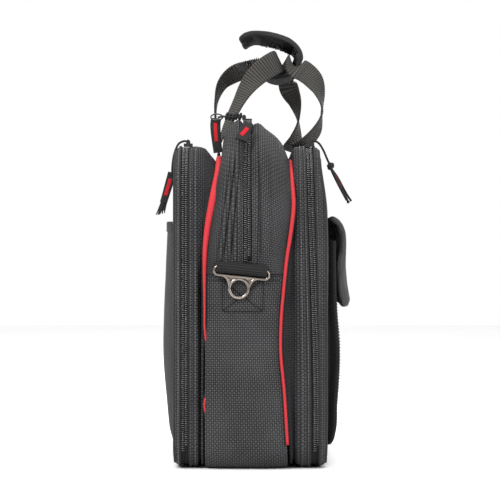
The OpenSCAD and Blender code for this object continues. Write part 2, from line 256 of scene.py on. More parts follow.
def frames(points, normals, closed=False):
    """Tangents, normals and side directions along a line. normals is one direction or one for each point."""
    t = tangents(points, closed)
    normals = np.broadcast_to(np.asarray(normals, float), np.shape(points))
    n = unit(normals - np.sum(normals * t, axis=1, keepdims=True) * t)
    return t, n, np.cross(t, n)


def tube(name, points, normals, radius, material, closed=False, sides=10):
    """A round cord along points; radius is one number or one for each point."""
    t, n, b = frames(points, normals, closed)
    r = np.broadcast_to(np.asarray(radius, float), (len(points),))[:, None, None]
    a = circle(sides)[None, :, None]
    ring = points[:, None] + r * (np.cos(a) * n[:, None] + np.sin(a) * b[:, None])
    return grid_object(name, ring, material, wrap_rows=closed, wrap_cols=True)


def close_ends(obj):
    """Closes the open ends of a tube or a strap."""
    bm = bmesh.new()
    bm.from_mesh(obj.data)
    bmesh.ops.holes_fill(bm, edges=[e for e in bm.edges if e.is_boundary], sides=0)
    bm.to_mesh(obj.data)
    bm.free()
    return obj


# A strap's section as shares of its width and thickness: one face, then its twin turned half round.
FACE = [(-0.5, 0.0), (-0.47, 0.38), (-0.40, 0.5), (-0.2, 0.5), (0, 0.5), (0.2, 0.5), (0.40, 0.5), (0.47, 0.38)]
STRAP_SECTION = FACE + [(-x, -y) for x, y in FACE]


def strap(name, points, faces_dir, width, thickness, material, closed=False):
    """Flat webbing along points. faces_dir is the way its flat side faces at each point."""
    t, n, b = frames(points, faces_dir, closed)
    w = np.broadcast_to(np.asarray(width, float), (len(points),))
    h = np.broadcast_to(np.asarray(thickness, float), (len(points),))
    across, up = b * w[:, None], n * h[:, None]
    ring = np.stack([points + across * sx + up * sy for sx, sy in STRAP_SECTION], axis=1)
    obj = grid_object(name, ring, material, wrap_rows=closed, wrap_cols=True)
    return obj if closed else close_ends(obj)


def copies(name, verts, faces, placements, material):
    """One mesh from many copies of a small one. placements holds (origin, x axis, y axis, z axis)."""
    v = np.asarray(verts, float)
    out_v, out_f = [], []
    for k, (o, x, y, z) in enumerate(placements):
        out_v.append(o + v[:, :1] * x + v[:, 1:2] * y + v[:, 2:] * z)
        out_f += [tuple(i + k * len(v) for i in f) for f in faces]
    return mesh_object(name, np.vstack(out_v), out_f, material)


def capsule(length, radius, sides=6, flat=1.0):
    """A closed rounded bar along x, centred on the origin."""
    tip, body = length / 2, length / 2 - radius * 0.5
    stations = [(-tip, 0.35), (-body, 0.9), (body, 0.9), (tip, 0.35)]
    verts, faces = [], []
    for x, share in stations:
        for k in range(sides):
            a = 2 * math.pi * k / sides
            verts.append((x, math.cos(a) * radius * share, math.sin(a) * radius * share * flat))
    for r in range(len(stations) - 1):
        for k in range(sides):
            k1 = (k + 1) % sides
            faces.append((r * sides + k, r * sides + k1, (r + 1) * sides + k1, (r + 1) * sides + k))
    faces.append(tuple(reversed(range(sides))))
    faces.append(tuple((len(stations) - 1) * sides + k for k in range(sides)))
    return verts, faces


def evenly(points, pitch, *others):
    """Resamples a line, and directions that go with it, at an even pitch."""
    s = lengths(points)
    at = np.arange(pitch / 2, s[-1], pitch)
    arrays = [np.broadcast_to(np.asarray(a, float), np.shape(points)) for a in (points,) + others]
    return [np.stack([np.interp(at, s, a[:, k]) for k in range(3)], axis=1) for a in arrays]


def stitches(name, points, normals, pitch=3.2, length=2.2, radius=0.42, material=None):
    """A row of sewn stitches along a line on a surface."""
    p, n = evenly(points, pitch, normals)
    t = tangents(p)
    n = unit(n)
    verts, faces = capsule(length, radius, sides=5)
    placements = [(p[i] + n[i] * 0.15, t[i], np.cross(n[i], t[i]), n[i]) for i in range(len(p))]
    return copies(name, verts, faces, placements, material or THREAD)


# ---- materials -----------------------------------------------------------


class Nodes:
    """Builds a material's nodes with short calls."""

    def __init__(self, name):
        self.material = bpy.data.materials.new(name)
        self.material.use_nodes = True
        self.tree = self.material.node_tree
        self.bsdf = self.tree.nodes["Principled BSDF"]

    def add(self, kind, **settings):
        node = self.tree.nodes.new(kind)
        for key, value in settings.items():
            setattr(node, key, value)
        return node

    def join(self, source, target):
        self.tree.links.new(source, target)

    def maths(self, operation, a, b=None):
        node = self.add("ShaderNodeMath", operation=operation)
        for socket, value in zip(node.inputs, (a, b)):
            if value is None:
                continue
            if isinstance(value, (int, float)):
                socket.default_value = value
            else:
                self.join(value, socket)
        return node.outputs[0]

    def cloth(self):
        """The cloth coordinates (across, along) in mm."""
        uv = self.add("ShaderNodeUVMap", uv_map="cloth")
        split = self.add("ShaderNodeSeparateXYZ")
        self.join(uv.outputs[0], split.inputs[0])
        return split.outputs[0], split.outputs[1]

    def noise(self, scale, detail=3.0):
        place = self.add("ShaderNodeTexCoord")
        texture = self.add("ShaderNodeTexNoise")
        texture.inputs["Scale"].default_value = scale
        texture.inputs["Detail"].default_value = detail
        self.join(place.outputs["Object"], texture.inputs["Vector"])
        return texture.outputs["Fac"]

    def ridges(self, value, scale):
        """Round ridges, from 0 to 1 high, as the value runs."""
        return self.maths("ABSOLUTE", self.maths("SINE", self.maths("MULTIPLY", value, scale)))

    def colour(self, factor, low, high, lo, hi):
        ramp = self.add("ShaderNodeValToRGB")
        ramp.color_ramp.elements[0].position = lo
        ramp.color_ramp.elements[1].position = hi
        ramp.color_ramp.elements[0].color = (*low, 1)
        ramp.color_ramp.elements[1].color = (*high, 1)
        self.join(factor, ramp.inputs["Fac"])
        self.join(ramp.outputs["Color"], self.bsdf.inputs["Base Color"])

    def rough(self, value, metal=0.0, specular=0.5):
        self.bsdf.inputs["Roughness"].default_value = value
        self.bsdf.inputs["Metallic"].default_value = metal
        self.bsdf.inputs["Specular IOR Level"].default_value = specular

    def relief(self, height, distance):
        node = self.add("ShaderNodeBump")
        node.inputs["Distance"].default_value = distance * MM
        node.inputs["Strength"].default_value = 1.0
        self.join(height, node.inputs["Height"])
        self.join(node.outputs[0], self.bsdf.inputs["Normal"])


def woven(name, low, high, pitch, depth, roughness=0.8, specular=0.16, low_at=0.22):
    """Basket weave: each cell shows a thread that runs across or along, in turn."""
    n = Nodes(name)
    u, v = (n.maths("DIVIDE", way, pitch) for way in n.cloth())
    turn = n.maths("PINGPONG", n.maths("ADD", n.maths("FLOOR", u), n.maths("FLOOR", v)), 1.0)
    ridge_u, ridge_v = n.ridges(u, math.pi), n.ridges(v, math.pi)

    def thread(over, under):
        return n.maths("MULTIPLY", n.maths("SQRT", over), n.maths("ADD", n.maths("MULTIPLY", under, 0.5), 0.5))
    height = n.maths("ADD", n.maths("MULTIPLY", thread(ridge_u, ridge_v), turn),
                     n.maths("MULTIPLY", thread(ridge_v, ridge_u), n.maths("SUBTRACT", 1.0, turn)))
    # The colour follows the weave's relief: painted shade between the threads, painted highlight on their
    # crowns, and a painted sheen that lightens alternate cells; the cloud is random tone.
    lean = n.maths("ADD", n.maths("MULTIPLY", turn, 0.16), n.maths("MULTIPLY", height, 0.62))
    cloud = n.maths("MULTIPLY", n.noise(26.0, 4.0), 0.30)
    n.colour(n.maths("ADD", lean, cloud), low, high, low_at, 0.98)
    n.rough(roughness, specular=specular)
    n.relief(height, depth)
    return n.material


def ribbed(name, low, high, pitch, depth, fine=0.9, roughness=0.75):
    """Webbing or tape: ribs across its width, with a finer pattern along it."""
    n = Nodes(name)
    across, along = n.cloth()
    rib, thread = n.ridges(along, math.pi / pitch), n.ridges(across, math.pi / fine)
    height = n.maths("ADD", n.maths("MULTIPLY", rib, 0.72), n.maths("MULTIPLY", thread, 0.28))
    cloud = n.maths("MULTIPLY", n.noise(40.0), 0.25)
    # The colour follows the relief: painted shade in the grooves between ribs and threads and painted
    # highlight on their crowns; the cloud is random tone.
    n.colour(n.maths("ADD", n.maths("MULTIPLY", height, 0.75), cloud), low, high, 0.1, 1.0)
    n.rough(roughness, specular=0.16)
    n.relief(height, depth)
    return n.material


def moulded(name, low, high, roughness, scale=900.0, depth=0.05, metal=0.0, specular=0.5):
    """Plastic, thread or metal with a fine surface grain and slow colour variation."""
    n = Nodes(name)
    n.colour(n.noise(scale * 0.05, 5.0), low, high, 0.3, 0.75)
    n.rough(roughness, metal=metal, specular=specular)
    n.relief(n.noise(scale, 2.0), depth)
    return n.material


FABRIC = woven("basket_weave", (0.0008, 0.0008, 0.001), (0.080, 0.080, 0.083), 2.3, 0.8, low_at=0.34)
# A darker copy of the basket weave: painted shade, for the recessed inner bands of the side compartments.
FABRIC_PAINTED_SHADE = woven("basket_weave_painted_shade", (0.0008, 0.0008, 0.001), (0.054, 0.054, 0.057), 2.3, 0.8,
                     low_at=0.32)
# A much darker copy of the basket weave: painted shade, for the fold tubes at the level seams, the flanges
# under the piping and the pocket's set-back gusset.
FABRIC_PAINTED_DEEP_SHADE = woven("basket_weave_painted_deep_shade", (0.001, 0.001, 0.001), (0.022, 0.022, 0.024), 2.2, 0.45)
SMOOTH = woven("fine_weave", (0.016, 0.016, 0.017), (0.066, 0.066, 0.069), 0.9, 0.12,
               roughness=0.6, specular=0.3)
LINING = woven("lining", (0.04, 0.04, 0.043), (0.11, 0.11, 0.115), 1.1, 0.15)
PADDING = woven("padded_wrap", (0.003, 0.003, 0.003), (0.036, 0.036, 0.037), 1.4, 0.25, roughness=0.85)
BINDING = ribbed("binding_tape", (0.002, 0.002, 0.002), (0.034, 0.034, 0.036), 1.1, 0.2, fine=1.1)
TAPE = ribbed("zip_tape", (0.001, 0.001, 0.001), (0.014, 0.014, 0.015), 0.8, 0.15, fine=0.8)
WEBBING = ribbed("webbing", (0.0022, 0.002, 0.0018), (0.084, 0.079, 0.073), 2.6, 1.1)
WEBBING_DARK = ribbed("webbing_dark", (0.001, 0.001, 0.001), (0.024, 0.024, 0.025), 2.3, 0.7)
PIPING = ribbed("red_piping", (0.33, 0.014, 0.020), (0.50, 0.034, 0.042), 0.8, 0.12, fine=0.7, roughness=0.6)
RED_TAPE = ribbed("red_tape", (0.26, 0.004, 0.008), (0.50, 0.014, 0.022), 1.0, 0.15)
PULL_TAPE = ribbed("pull_tape", (0.002, 0.002, 0.002), (0.030, 0.030, 0.031), 1.2, 0.25, fine=1.0)
TEETH = moulded("zip_coil", (0.008, 0.008, 0.008), (0.03, 0.03, 0.031), 0.24, specular=0.9)
THREAD = moulded("thread", (0.001, 0.001, 0.001), (0.005, 0.005, 0.005), 0.6, specular=0.2)
THREAD_LIGHT = moulded("thread_light", (0.07, 0.07, 0.072), (0.15, 0.15, 0.155), 0.5, specular=0.3)
METAL = moulded("black_metal", (0.010, 0.010, 0.010), (0.045, 0.045, 0.045), 0.30,
                depth=0.01, metal=0.6, specular=0.7)
RING_METAL = moulded("nickel", (0.11, 0.092, 0.078), (0.34, 0.30, 0.27), 0.17, depth=0.01, metal=1.0)
HOOK = moulded("hook_tape", (0.004, 0.004, 0.004), (0.022, 0.022, 0.023), 0.8,
               scale=1400.0, depth=0.6, specular=0.2)
BOARD = moulded("board", (0.008, 0.008, 0.008), (0.018, 0.018, 0.018), 0.5, scale=300.0, depth=0.1)
FLOOR = moulded("floor", (0.86, 0.86, 0.86), (0.90, 0.90, 0.90), 0.6, scale=40.0, depth=0.02)

# ---- outlines seen from the front ---------------------------------------

SPLIT_Z = 196.0                                   # height of the level seam across each end
STEPS = {"base": 14, "low_corner": 8, "low": 34, "high": 26, "corner": 16, "top": 30}


def outline(half, z0, z1, rt, rb):
    """Half a loop in the YZ plane: from the middle of the base, round the near end, to the top's middle."""
    y_low, y_top = half - rb, half - rt
    places, normals = [], []

    def line(a, b, count, normal):
        for t in np.arange(count) / count:
            places.append(lerp(np.array(a, float), np.array(b, float), t))
            normals.append(normal)

    def arc(centre, r, a0, a1, count):
        for a in np.radians(lerp(a0, a1, np.arange(count) / count)):
            places.append((centre[0] + r * math.cos(a), centre[1] + r * math.sin(a)))
            normals.append((math.cos(a), math.sin(a)))

    line((0, z0), (-y_low, z0), STEPS["base"], (0, -1))
    arc((-y_low, z0 + rb), rb, 270, 180, STEPS["low_corner"])
    line((-half, z0 + rb), (-half, SPLIT_Z), STEPS["low"], (-1, 0))
    line((-half, SPLIT_Z), (-half, z1 - rt), STEPS["high"], (-1, 0))
    arc((-y_top, z1 - rt), rt, 180, 90, STEPS["corner"])
    line((-y_top, z1), (0, z1), STEPS["top"], (0, 1))
    places.append((0, z1))
    normals.append((0, 1))
    return np.array(places, float), np.array(normals, float)


SPLIT_ROW = STEPS["base"] + STEPS["low_corner"] + STEPS["low"]
HALF_ROWS = sum(STEPS.values()) + 1


def mirrored(half_points):
    """The far half that goes with a near half, from the middle of the top down to the base."""
    out = half_points[::-1].copy()
    out[:, 0] *= -1
    return out


def loop(half):
    """The whole closed loop of an outline: its points and its normals."""
    (p, n) = half
    return np.vstack([p, mirrored(p)[1:-1]]), np.vstack([n, mirrored(n)[1:-1]])


def stretch(half, first, last):
    """Part of an outline, by row."""
    return half[0][first:last], half[1][first:last]


def trough_under(half):
    """From the level seam on the far end, under the base, to the level seam on the near end."""
    p, n = stretch(half, 0, SPLIT_ROW + 1)
    return np.vstack([mirrored(p), p[1:]]), np.vstack([mirrored(n), n[1:]])


def at_x(x, flat):
    """3D points from x and YZ points."""
    return np.column_stack([np.broadcast_to(x, (len(flat),)), flat])


SEAM = outline(208.5, 1.0, 309.0, 42.0, 24.0)      # where the main compartment meets the side ones
CREST = outline(211.5, 0.0, 350.0, 46.0, 25.0)     # line of the main zip
SIDE = outline(205.0, 2.5, 324.5, 46.0, 25.0)      # outer edge of the side compartments

rear_seam_x = smooth_curve([(0, -45), (60, -45), (160, -44.5), (200, -44.5), (220, -44), (240, -42),
                            (260, -38.5), (280, -34.5), (300, -30.5), (309, -30)])
front_seam_x = smooth_curve([(0, 38), (40, 36), (80, 33.5), (120, 30), (150, 30.5), (180, 33), (210, 36),
                             (240, 40.5), (265, 43), (290, 41.5), (309, 40.5)])
front_zip_x = smooth_curve([(0, 67), (80, 67), (180, 64.5), (280, 61), (325, 60)])
REAR_ZIP_X = -65.5
FRONT_ZIP_X = 61.0                                 # before the front compartment's lean
MAIN_ZIP_X = -2.5
CHAIN = 4.0                                        # half width of a zip's chain

# ---- small makers for bag pieces -----------------------------------------


def place(obj, body, material_slot, *nodes):
    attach(obj, body)
    if nodes:
        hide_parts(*nodes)
    return obj


def place_bent(obj, a, b, start, end, material_slot, *nodes):
    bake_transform(obj)
    if nodes:
        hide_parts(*nodes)
    return obj


def cut_to(obj):
    """Hands a piece of cloth back as it is."""
    return obj


def sewn(name, line, normals, body, material_slot="weave", **shape):
    """A row of stitches that rides a body."""
    return place(stitches(name, line, normals, **shape), body, material_slot)


def dress(node, material, **bevel):
    """Gives a CAD piece its material and, where one is asked for, a bevel."""
    obj = frame["nodes"][node]
    obj.data.materials.clear()
    obj.data.materials.append(material)
    if bevel:
        add_modifier(obj, "BEVEL", segments=2, **bevel)


def pushed(points, directions, amount):
    return points + directions * np.asarray(amount)[..., None]


def wrinkled(points, outward, size, scale, seed):
    """Moves a grid of points along its outward directions by smooth noise."""
    return pushed(points, np.broadcast_to(outward, points.shape), size * soft_noise(points, scale, seed))


def outward(flat_normals, count):
    """YZ normals as 3D directions for a grid with count columns."""
    n = np.column_stack([np.zeros(len(flat_normals)), flat_normals])
    return np.repeat(n[:, None], count, axis=1)


def vertex_places(obj):
    """The points of a piece's mesh, in metres."""
    co = np.empty(len(obj.data.vertices) * 3, np.float32)
    obj.data.vertices.foreach_get("co", co)
    return co.reshape(-1, 3)


def cloth_layer(obj):
    return obj.data.uv_layers.get("cloth") or obj.data.uv_layers.new(name="cloth")


def project_cloth(obj, line):
    """Cloth coordinates for a piece swept along Y: y across, and the distance along an XZ line."""
    fine = swept_line(line, 200)[0]
    co = vertex_places(obj) / MM
    gap = (co[:, None, 0] - fine[None, :, 0]) ** 2 + (co[:, None, 2] - fine[None, :, 2]) ** 2
    at = lengths(fine)[np.argmin(gap, axis=1)]
    corner = np.empty(len(obj.data.loops), np.int32)
    obj.data.loops.foreach_get("vertex_index", corner)
    uvs = np.column_stack([co[corner, 1], at[corner]]).astype(np.float32)
    cloth_layer(obj).data.foreach_set("uv", uvs.reshape(-1))


FACE_MIDDLE_Z = 163.0                              # height of the middle of the bag's large faces


def filled(loops):
    """Closes the hole in the middle of stacked loops by drawing the last one in to the middle line."""
    last = loops[:, -1]
    extra = []
    for share in (0.75, 0.5, 0.25, 0.0):
        p = last.copy()
        p[:, 0] = lerp(last[:, 0].mean(), last[:, 0], 0.15 + 0.85 * share)
        p[:, 2] = lerp(FACE_MIDDLE_Z, last[:, 2], share)
        extra.append(p)
    return np.concatenate([loops, np.stack(extra, axis=1)], axis=1)


def flat_cloth(obj):
    """Cloth coordinates laid flat on whichever way each face looks."""
    layer = cloth_layer(obj)
    for face in obj.data.polygons:
        drop = max(range(3), key=lambda k: abs(face.normal[k]))
        u, v = [k for k in range(3) if k != drop]
        for corner in face.loop_indices:
            co = obj.data.vertices[obj.data.loops[corner].vertex_index].co
            layer.data[corner].uv = (co[u] / MM, co[v] / MM)
    return obj


PUFF_FRAMES = 20                                   # frames of the short simulation that fills a pad


def puff(obj, line, voxel, pressure, most):
    """Fills a closed piece, swept along an XZ line, like a stuffed one: a short cloth simulation under
    pressure, in which each point moves most mm at most."""
    add_modifier(obj, "REMESH", mode="VOXEL", voxel_size=voxel * MM, use_smooth_shade=True)
    apply_modifiers(obj)
    start = vertex_places(obj)
    cloth = obj.modifiers.new("cloth", "CLOTH")
    s = cloth.settings
    s.quality, s.mass, s.time_scale = 5, 0.3, 0.7
    s.tension_stiffness = s.compression_stiffness = 18
    s.shear_stiffness, s.bending_stiffness = 8, 1.2
    s.use_pressure, s.uniform_pressure_force = True, pressure
    s.effector_weights.gravity = 0
    cloth.collision_settings.use_collision = False
    cloth.point_cache.frame_start, cloth.point_cache.frame_end = 1, PUFF_FRAMES
    for frame_number in range(1, PUFF_FRAMES + 1):
        scene.frame_set(frame_number)
    apply_modifiers(obj)
    scene.frame_set(1)
    move = vertex_places(obj) - start
    size = np.linalg.norm(move, axis=1, keepdims=True)
    move *= np.minimum(1, most * MM / np.maximum(size, 1e-9))
    obj.data.vertices.foreach_set("co", (start + move).reshape(-1))
    add_modifier(obj, "SUBSURF", levels=1, render_levels=1)
    apply_modifiers(obj)
    obj.data.polygons.foreach_set("use_smooth", [True] * len(obj.data.polygons))
    project_cloth(obj, line)
    return obj


def slab_along_y(name, line, y0, y1, thick, material, corner=14.0, rows=26, cols=40, swing=(0, 0), late=2):
    """A closed slab that follows an XZ line and runs from y0 to y1, with rounded corners at its line's end.
    thick is its thickness at the start and the end of the line. swing moves the line's end in x and z by the
    far side, and a higher late keeps that move nearer the end."""
    mid, _, side = swept_line(line, rows)
    thick = lerp(*np.broadcast_to(np.asarray(thick, float), 2), np.linspace(0, 1, rows))
    s = lengths(mid)
    left = s[-1] - s
    cut = np.where(left < corner, corner - np.sqrt(np.maximum(corner ** 2 - (corner - left) ** 2, 0)), 0)
    y = np.array([np.linspace(y0 + c, y1 - c, cols) for c in cut])
    far = (y - y0) / (y1 - y0) * ((s / s[-1]) ** late)[:, None]
    layers = []
    for sign in (-1, 1):
        p = np.repeat((mid + side * sign * thick[:, None] / 2)[:, None], cols, axis=1)
        p[..., 1] = y
        p[..., 0] += swing[0] * far
        p[..., 2] += swing[1] * far
        layers.append(p.reshape(-1, 3))
    half = rows * cols
    faces = []
    for i in range(rows - 1):
        for j in range(cols - 1):
            a, b, c, d = i * cols + j, i * cols + j + 1, (i + 1) * cols + j + 1, (i + 1) * cols + j
            faces.append((a, b, c, d))
            faces.append((d + half, c + half, b + half, a + half))
    rim = ([(0, j) for j in range(cols)] + [(i, cols - 1) for i in range(1, rows)]
           + [(rows - 1, j) for j in range(cols - 2, -1, -1)] + [(i, 0) for i in range(rows - 2, 0, -1)])
    ids = [i * cols + j for i, j in rim]
    faces += [(b, a, a + half, b + half) for a, b in zip(ids, ids[1:] + ids[:1])]
    return mesh_object(name, np.concatenate(layers), faces, material)


def zip_teeth(name, points, normals, away, lean, pitch=2.1):
    """One side of a coil zip along a line. away points from the zip's middle to this side, and lean is 0 or
    0.5 of a pitch."""
    first = int(lean > 0)
    p, n, a = evenly(points[first:], pitch, normals[first:], away)
    p = p + tangents(p) * pitch * lean
    n, a = unit(n), unit(a)
    verts, faces = capsule(3.3, 0.62, sides=6, flat=0.8)
    placements = [(p[i] + a[i] * 1.75 + n[i] * 0.55, a[i], np.cross(n[i], a[i]), n[i]) for i in range(len(p))]
    return copies(name, verts, faces, placements, TEETH)


# ---- main compartment: ends, base and top --------------------------------

NEAR, FAR = "near", "far"
ENDS = ((NEAR, -1), (FAR, 1))                 # each end of the bag and which way along Y it lies
BEND_Y = (205.0, 150.0)                       # two distances along Y from the middle, at the mouth

# How the fabric climbs from the seam to the zip along the top, as shares of the way across.
REAR_RISE = smooth_curve([(0, 0), (0.10, 0.20), (0.17, 0.52), (0.32, 0.80), (0.50, 0.92), (0.68, 0.985),
                          (1, 1.0)])
FRONT_RISE = smooth_curve([(0, 0), (0.12, 0.20), (0.18, 0.33), (0.36, 0.56), (0.59, 0.74), (0.73, 0.84),
                           (0.88, 0.92), (1, 0.98)])
# How far in the zip lies, by height.
LIP = smooth_curve([(180, 0.4), (208, 0.5), (262, 1.0), (290, 4.2), (335, 4.8), (352, 3.0)])
# Slack creases in each half of the end fabric: shares of the way to the zip at the top and the foot, depth
# in mm and width as a share. -1 is the rear half and 1 the front one.
CREASES = {-1: ((0.80, 0.46, 5.0, 0.06), (0.95, 0.66, 4.4, 0.055), (0.62, 0.30, 2.8, 0.05)),
           1: ((0.86, 0.72, 3.6, 0.055), (0.60, 0.40, 1.8, 0.06))}


def upper_band(side, seam_x, zip_x, rise, cols=26):
    """Near-end upper fabric of one half: from seam to zip, and from the level seam over to the middle."""
    seam, seam_n = stretch(SEAM, SPLIT_ROW, HALF_ROWS)
    crest, crest_n = stretch(CREST, SPLIT_ROW, HALF_ROWS)
    x0 = seam_x(seam[:, 1])
    u = np.linspace(0, 1, cols)
    x = x0[:, None] + (zip_x - x0)[:, None] * u[None]
    top_share = np.clip((seam_n[:, 1]), 0, 1)[:, None]
    share = lerp(u[None] ** 0.55, rise(u)[None], top_share)
    yz = lerp(seam[:, None], crest[:, None], share[..., None])
    p = np.dstack([x, yz])
    out = outward(crest_n, cols)
    z = p[:, :1, 2]
    lip = LIP(crest[:, 1])[:, None] * ease(u, 0.86, 1.0)[None] ** 1.5
    ridge = 1.6 * bump(u, 0.80, 0.09)[None] * ease(z, 225, 290)
    belly = 2.6 * np.sin(np.pi * np.clip(u, 0, 1))[None] ** 1.2 * (1 - 0.6 * top_share)
    for at_top, at_foot, deep, width in CREASES[side]:
        crease = lerp(at_foot, at_top, np.clip((z - 200) / 95, 0, 1))
        dent = deep * np.exp(-((u[None] - crease) / width) ** 2)
        belly = belly - dent * ease(z, 197, 216) * (1 - ease(z, 262, 318)) * (1 - top_share)
    near_seam = -2.2 * bump(u, 0.0, 0.10)[None]
    p = pushed(p, out, belly + ridge + near_seam - lip)
    still = np.clip(1 - bump(u, 0, 0.12) - bump(u, 1, 0.10), 0, 1)[None]
    move = (1.5 * soft_noise(p, (34, 60, 52), 3 + side) + 0.6 * soft_noise(p, (14, 20, 20), 9 + side)) * still
    return pushed(p, out, move)


def far_copy(p):
    """The far-end twin of near-end points, with its rows the other way so that it still faces out."""
    q = p[::-1].copy()
    q[..., 1] *= -1
    return q


def zip_line(side_x):
    """Near-end main zip line, its normals, from where the chain starts up over the top to the middle."""
    crest, crest_n = stretch(CREST, SPLIT_ROW, HALF_ROWS)
    keep = crest[:, 1] > 206
    depth = LIP(crest[:, 1]) + 0.4
    p = at_x(side_x, crest - crest_n * depth[:, None])[keep]
    return p, outward(crest_n, 1)[:, 0][keep]


def mouth_pieces():
    halves = (("rear", rear_seam_x, REAR_RISE, -1), ("front", front_seam_x, FRONT_RISE, 1))
    for which, seam_x, rise, sign in halves:
        near = upper_band(sign, seam_x, MAIN_ZIP_X + sign * (CHAIN + 0.6), rise)
        if sign > 0:
            near = near[:, ::-1]
        for end, way in ENDS:
            turned = far_copy if way > 0 else np.array
            bend = ("bag", f"mouth_{which}", (0, way * BEND_Y[0], 320), (0, way * BEND_Y[1], 320))
            top = way < 0
            at_end = which == "rear"
            cloth = thicken(grid_object(f"{which}_shoulder_{end}", turned(near), FABRIC), 2.4, 0.6)
            place_bent(cloth, *bend, "weave", *[f"top_panel_{which}"] * top, *[f"end_gusset_{end}"] * at_end)
            cut_to(cloth)
            line, normals = (turned(v) for v in zip_line(MAIN_ZIP_X))
            away = np.array([sign, 0.0, 0.0])
            teeth = zip_teeth(f"main_zip_teeth_{which}_{end}", line, normals, away, 0.25 + 0.25 * sign)
            place_bent(teeth, *bend, "zip", *[f"top_zip_{which}"] * top, *[f"end_zip_{end}"] * at_end)
            steps = (0.02, 3.0, 6.0, 9.0)
            rows = np.stack([line + away * d - normals * (0.3 + 0.05 * d) for d in steps], axis=1)
            tape = grid_object(f"main_zip_tape_{which}_{end}", rows[:, ::sign], TAPE)
            place_bent(thicken(tape, 0.8), *bend, "zip")
            n = turned(outward(stretch(CREST, SPLIT_ROW, HALF_ROWS)[1], 1)[:, 0])
            hem = turned(near[:, -5 if sign < 0 else 4]) + n * 1.3
            place_bent(stitches(f"zip_stitch_{which}_{end}", hem, n, radius=0.4), *bend, "weave")


def lower_band(cols=30):
    """The fabric below the level seam, round under the base and up the other end."""
    flat, normals = trough_under(SEAM)
    x0, x1 = rear_seam_x(flat[:, 1]), front_seam_x(flat[:, 1])
    u = np.linspace(0, 1, cols)
    x = x0[:, None] + (x1 - x0)[:, None] * u[None]
    yz = np.repeat(flat[:, None], cols, axis=1)
    p = np.dstack([x, yz])
    out = outward(normals, cols)
    upright = np.abs(normals[:, :1])
    z = flat[:, 1:2]
    belly = (4.6 * np.sin(np.pi * u)[None] ** 0.6 * upright * (1 - 0.25 * bump(z, 196, 14))
             - 2.0 * upright * (bump(u, 0, 0.07) + bump(u, 1, 0.07))[None])
    fan = 0.0
    for start_u, end_u in ((0.16, 0.10), (0.78, 0.93)):
        middle = lerp(end_u, start_u, np.clip(z / 150.0, 0, 1))
        fold = 0.9 * np.exp(-((u[None] - middle) / 0.022) ** 2)
        fan = fan - fold * ease(z, 20, 60) * (1 - ease(z, 150, 170))
    still = np.clip(1 - bump(u, 0, 0.1) - bump(u, 1, 0.1), 0, 1)[None] * upright
    move = (1.5 * soft_noise(p, (36, 40, 60), 21) + 0.5 * soft_noise(p, (14, 14, 20), 25)) * still
    p = pushed(p, out, belly + fan * upright + move)
    p[..., 2] = np.maximum(p[..., 2], 1.2)
    return p, out


def base_pieces():
    p, out = lower_band()
    cloth = grid_object("lower_band", p, FABRIC)
    thicken(cloth, 2.0, 0.5)
    place(cloth, "bag", "weave", "main_bottom")
    cut_to(cloth)
    for end, row, inner in ((FAR, 0, 1), (NEAR, -1, -2)):
        gap = abs(p[row, 0, 2] - p[inner, 0, 2])
        for k, drop in enumerate((3.0, 6.5)):
            seam = lerp(p[row], p[inner], drop / gap) + out[row] * 1.1
            sewn(f"level_stitch_{end}_{k}", seam[1:-1], out[row][1:-1], "bag")
        fold = p[row] + out[row] * 0.9
        # The fold tube wears the darkest copy of the weave: painted shade in the level seam's crease.
        place(close_ends(tube(f"level_seam_{end}", fold, out[row], 1.3, FABRIC_PAINTED_DEEP_SHADE)), "bag", "weave")


mouth_pieces()
base_pieces()

# ---- seams with red piping -----------------------------------------------


def piping_pieces():
    flat, normals = loop(SEAM)
    kept = np.flatnonzero(flat[:, 1] > 24)
    flat, normals = flat[kept[0]:kept[-1] + 1], normals[kept[0]:kept[-1] + 1]
    z = flat[:, 1]
    n = np.column_stack([np.zeros(len(z)), normals])
    buried = 4.0 * (1 - ease(z, 108, 146)) * (1 - bump(z, 65, 10))
    sunk = -4.6 * (1 - ease(z, 112, 150)) + 3.0 * bump(z, 65, 9) + 2.4 * ease(z, 280, 305)
    for which, seam_x, shift, width, hide, sink in (("rear", rear_seam_x, -1.0, (1.0, 3.6), buried, sunk),
                                                    ("front", front_seam_x, 0.6, (1.5, 2.0), 0.0, 0.0 * z)):
        radius = lerp(width[0], width[1], ease(z, 150, 285))
        p = at_x(seam_x(z) + shift + hide, flat + normals * (1.2 + sink)[:, None])
        cord = close_ends(tube(f"{which}_piping_cord", p, n, radius, PIPING, sides=12))
        place(cord, "bag", "piping", f"{which}_piping")
        # The flange wears the darkest copy of the weave: painted shade in the seam's valley under the piping.
        flange = np.stack([p - n * 0.4 + [d, 0, 0] for d in (-3.2, 0, 3.2)], axis=1) - n[:, None] * 1.2
        place(thicken(grid_object(f"{which}_piping_flange", flange, FABRIC_PAINTED_DEEP_SHADE), 1.2), "bag", "weave")


piping_pieces()

# ---- partition walls, board, divider and organiser inside ----------------


def partition(name, seam_x, shift, inward, material):
    """The wall between the main compartment and a side one, cut to the seam's loop."""
    flat, _ = loop(SEAM)
    shares = np.array([0.985, 0.93, 0.8, 0.6, 0.4])
    centre = np.array([0, 160.0])
    rows = []
    for share in shares:
        yz = centre + (flat - centre) * share
        x = seam_x(yz[:, 1]) + shift + inward * 2.0 * (1 - share)
        rows.append(at_x(x, yz))
    p = np.stack(rows, axis=1)
    p = wrinkled(p, np.array([1.0, 0, 0]), 1.2, 70, 31)
    return flat_cloth(thicken(grid_object(name, filled(p), material, wrap_rows=True), 1.8))


for which, seam_x, inward in (("rear", rear_seam_x, 1), ("front", front_seam_x, -1)):
    wall = partition(f"{which}_partition", seam_x, 1.2 * inward, inward, LINING)
    cut_to(place(wall, "bag", "lining", f"main_{which}_wall"))

dress("base_board", BOARD, width=0.8 * MM)


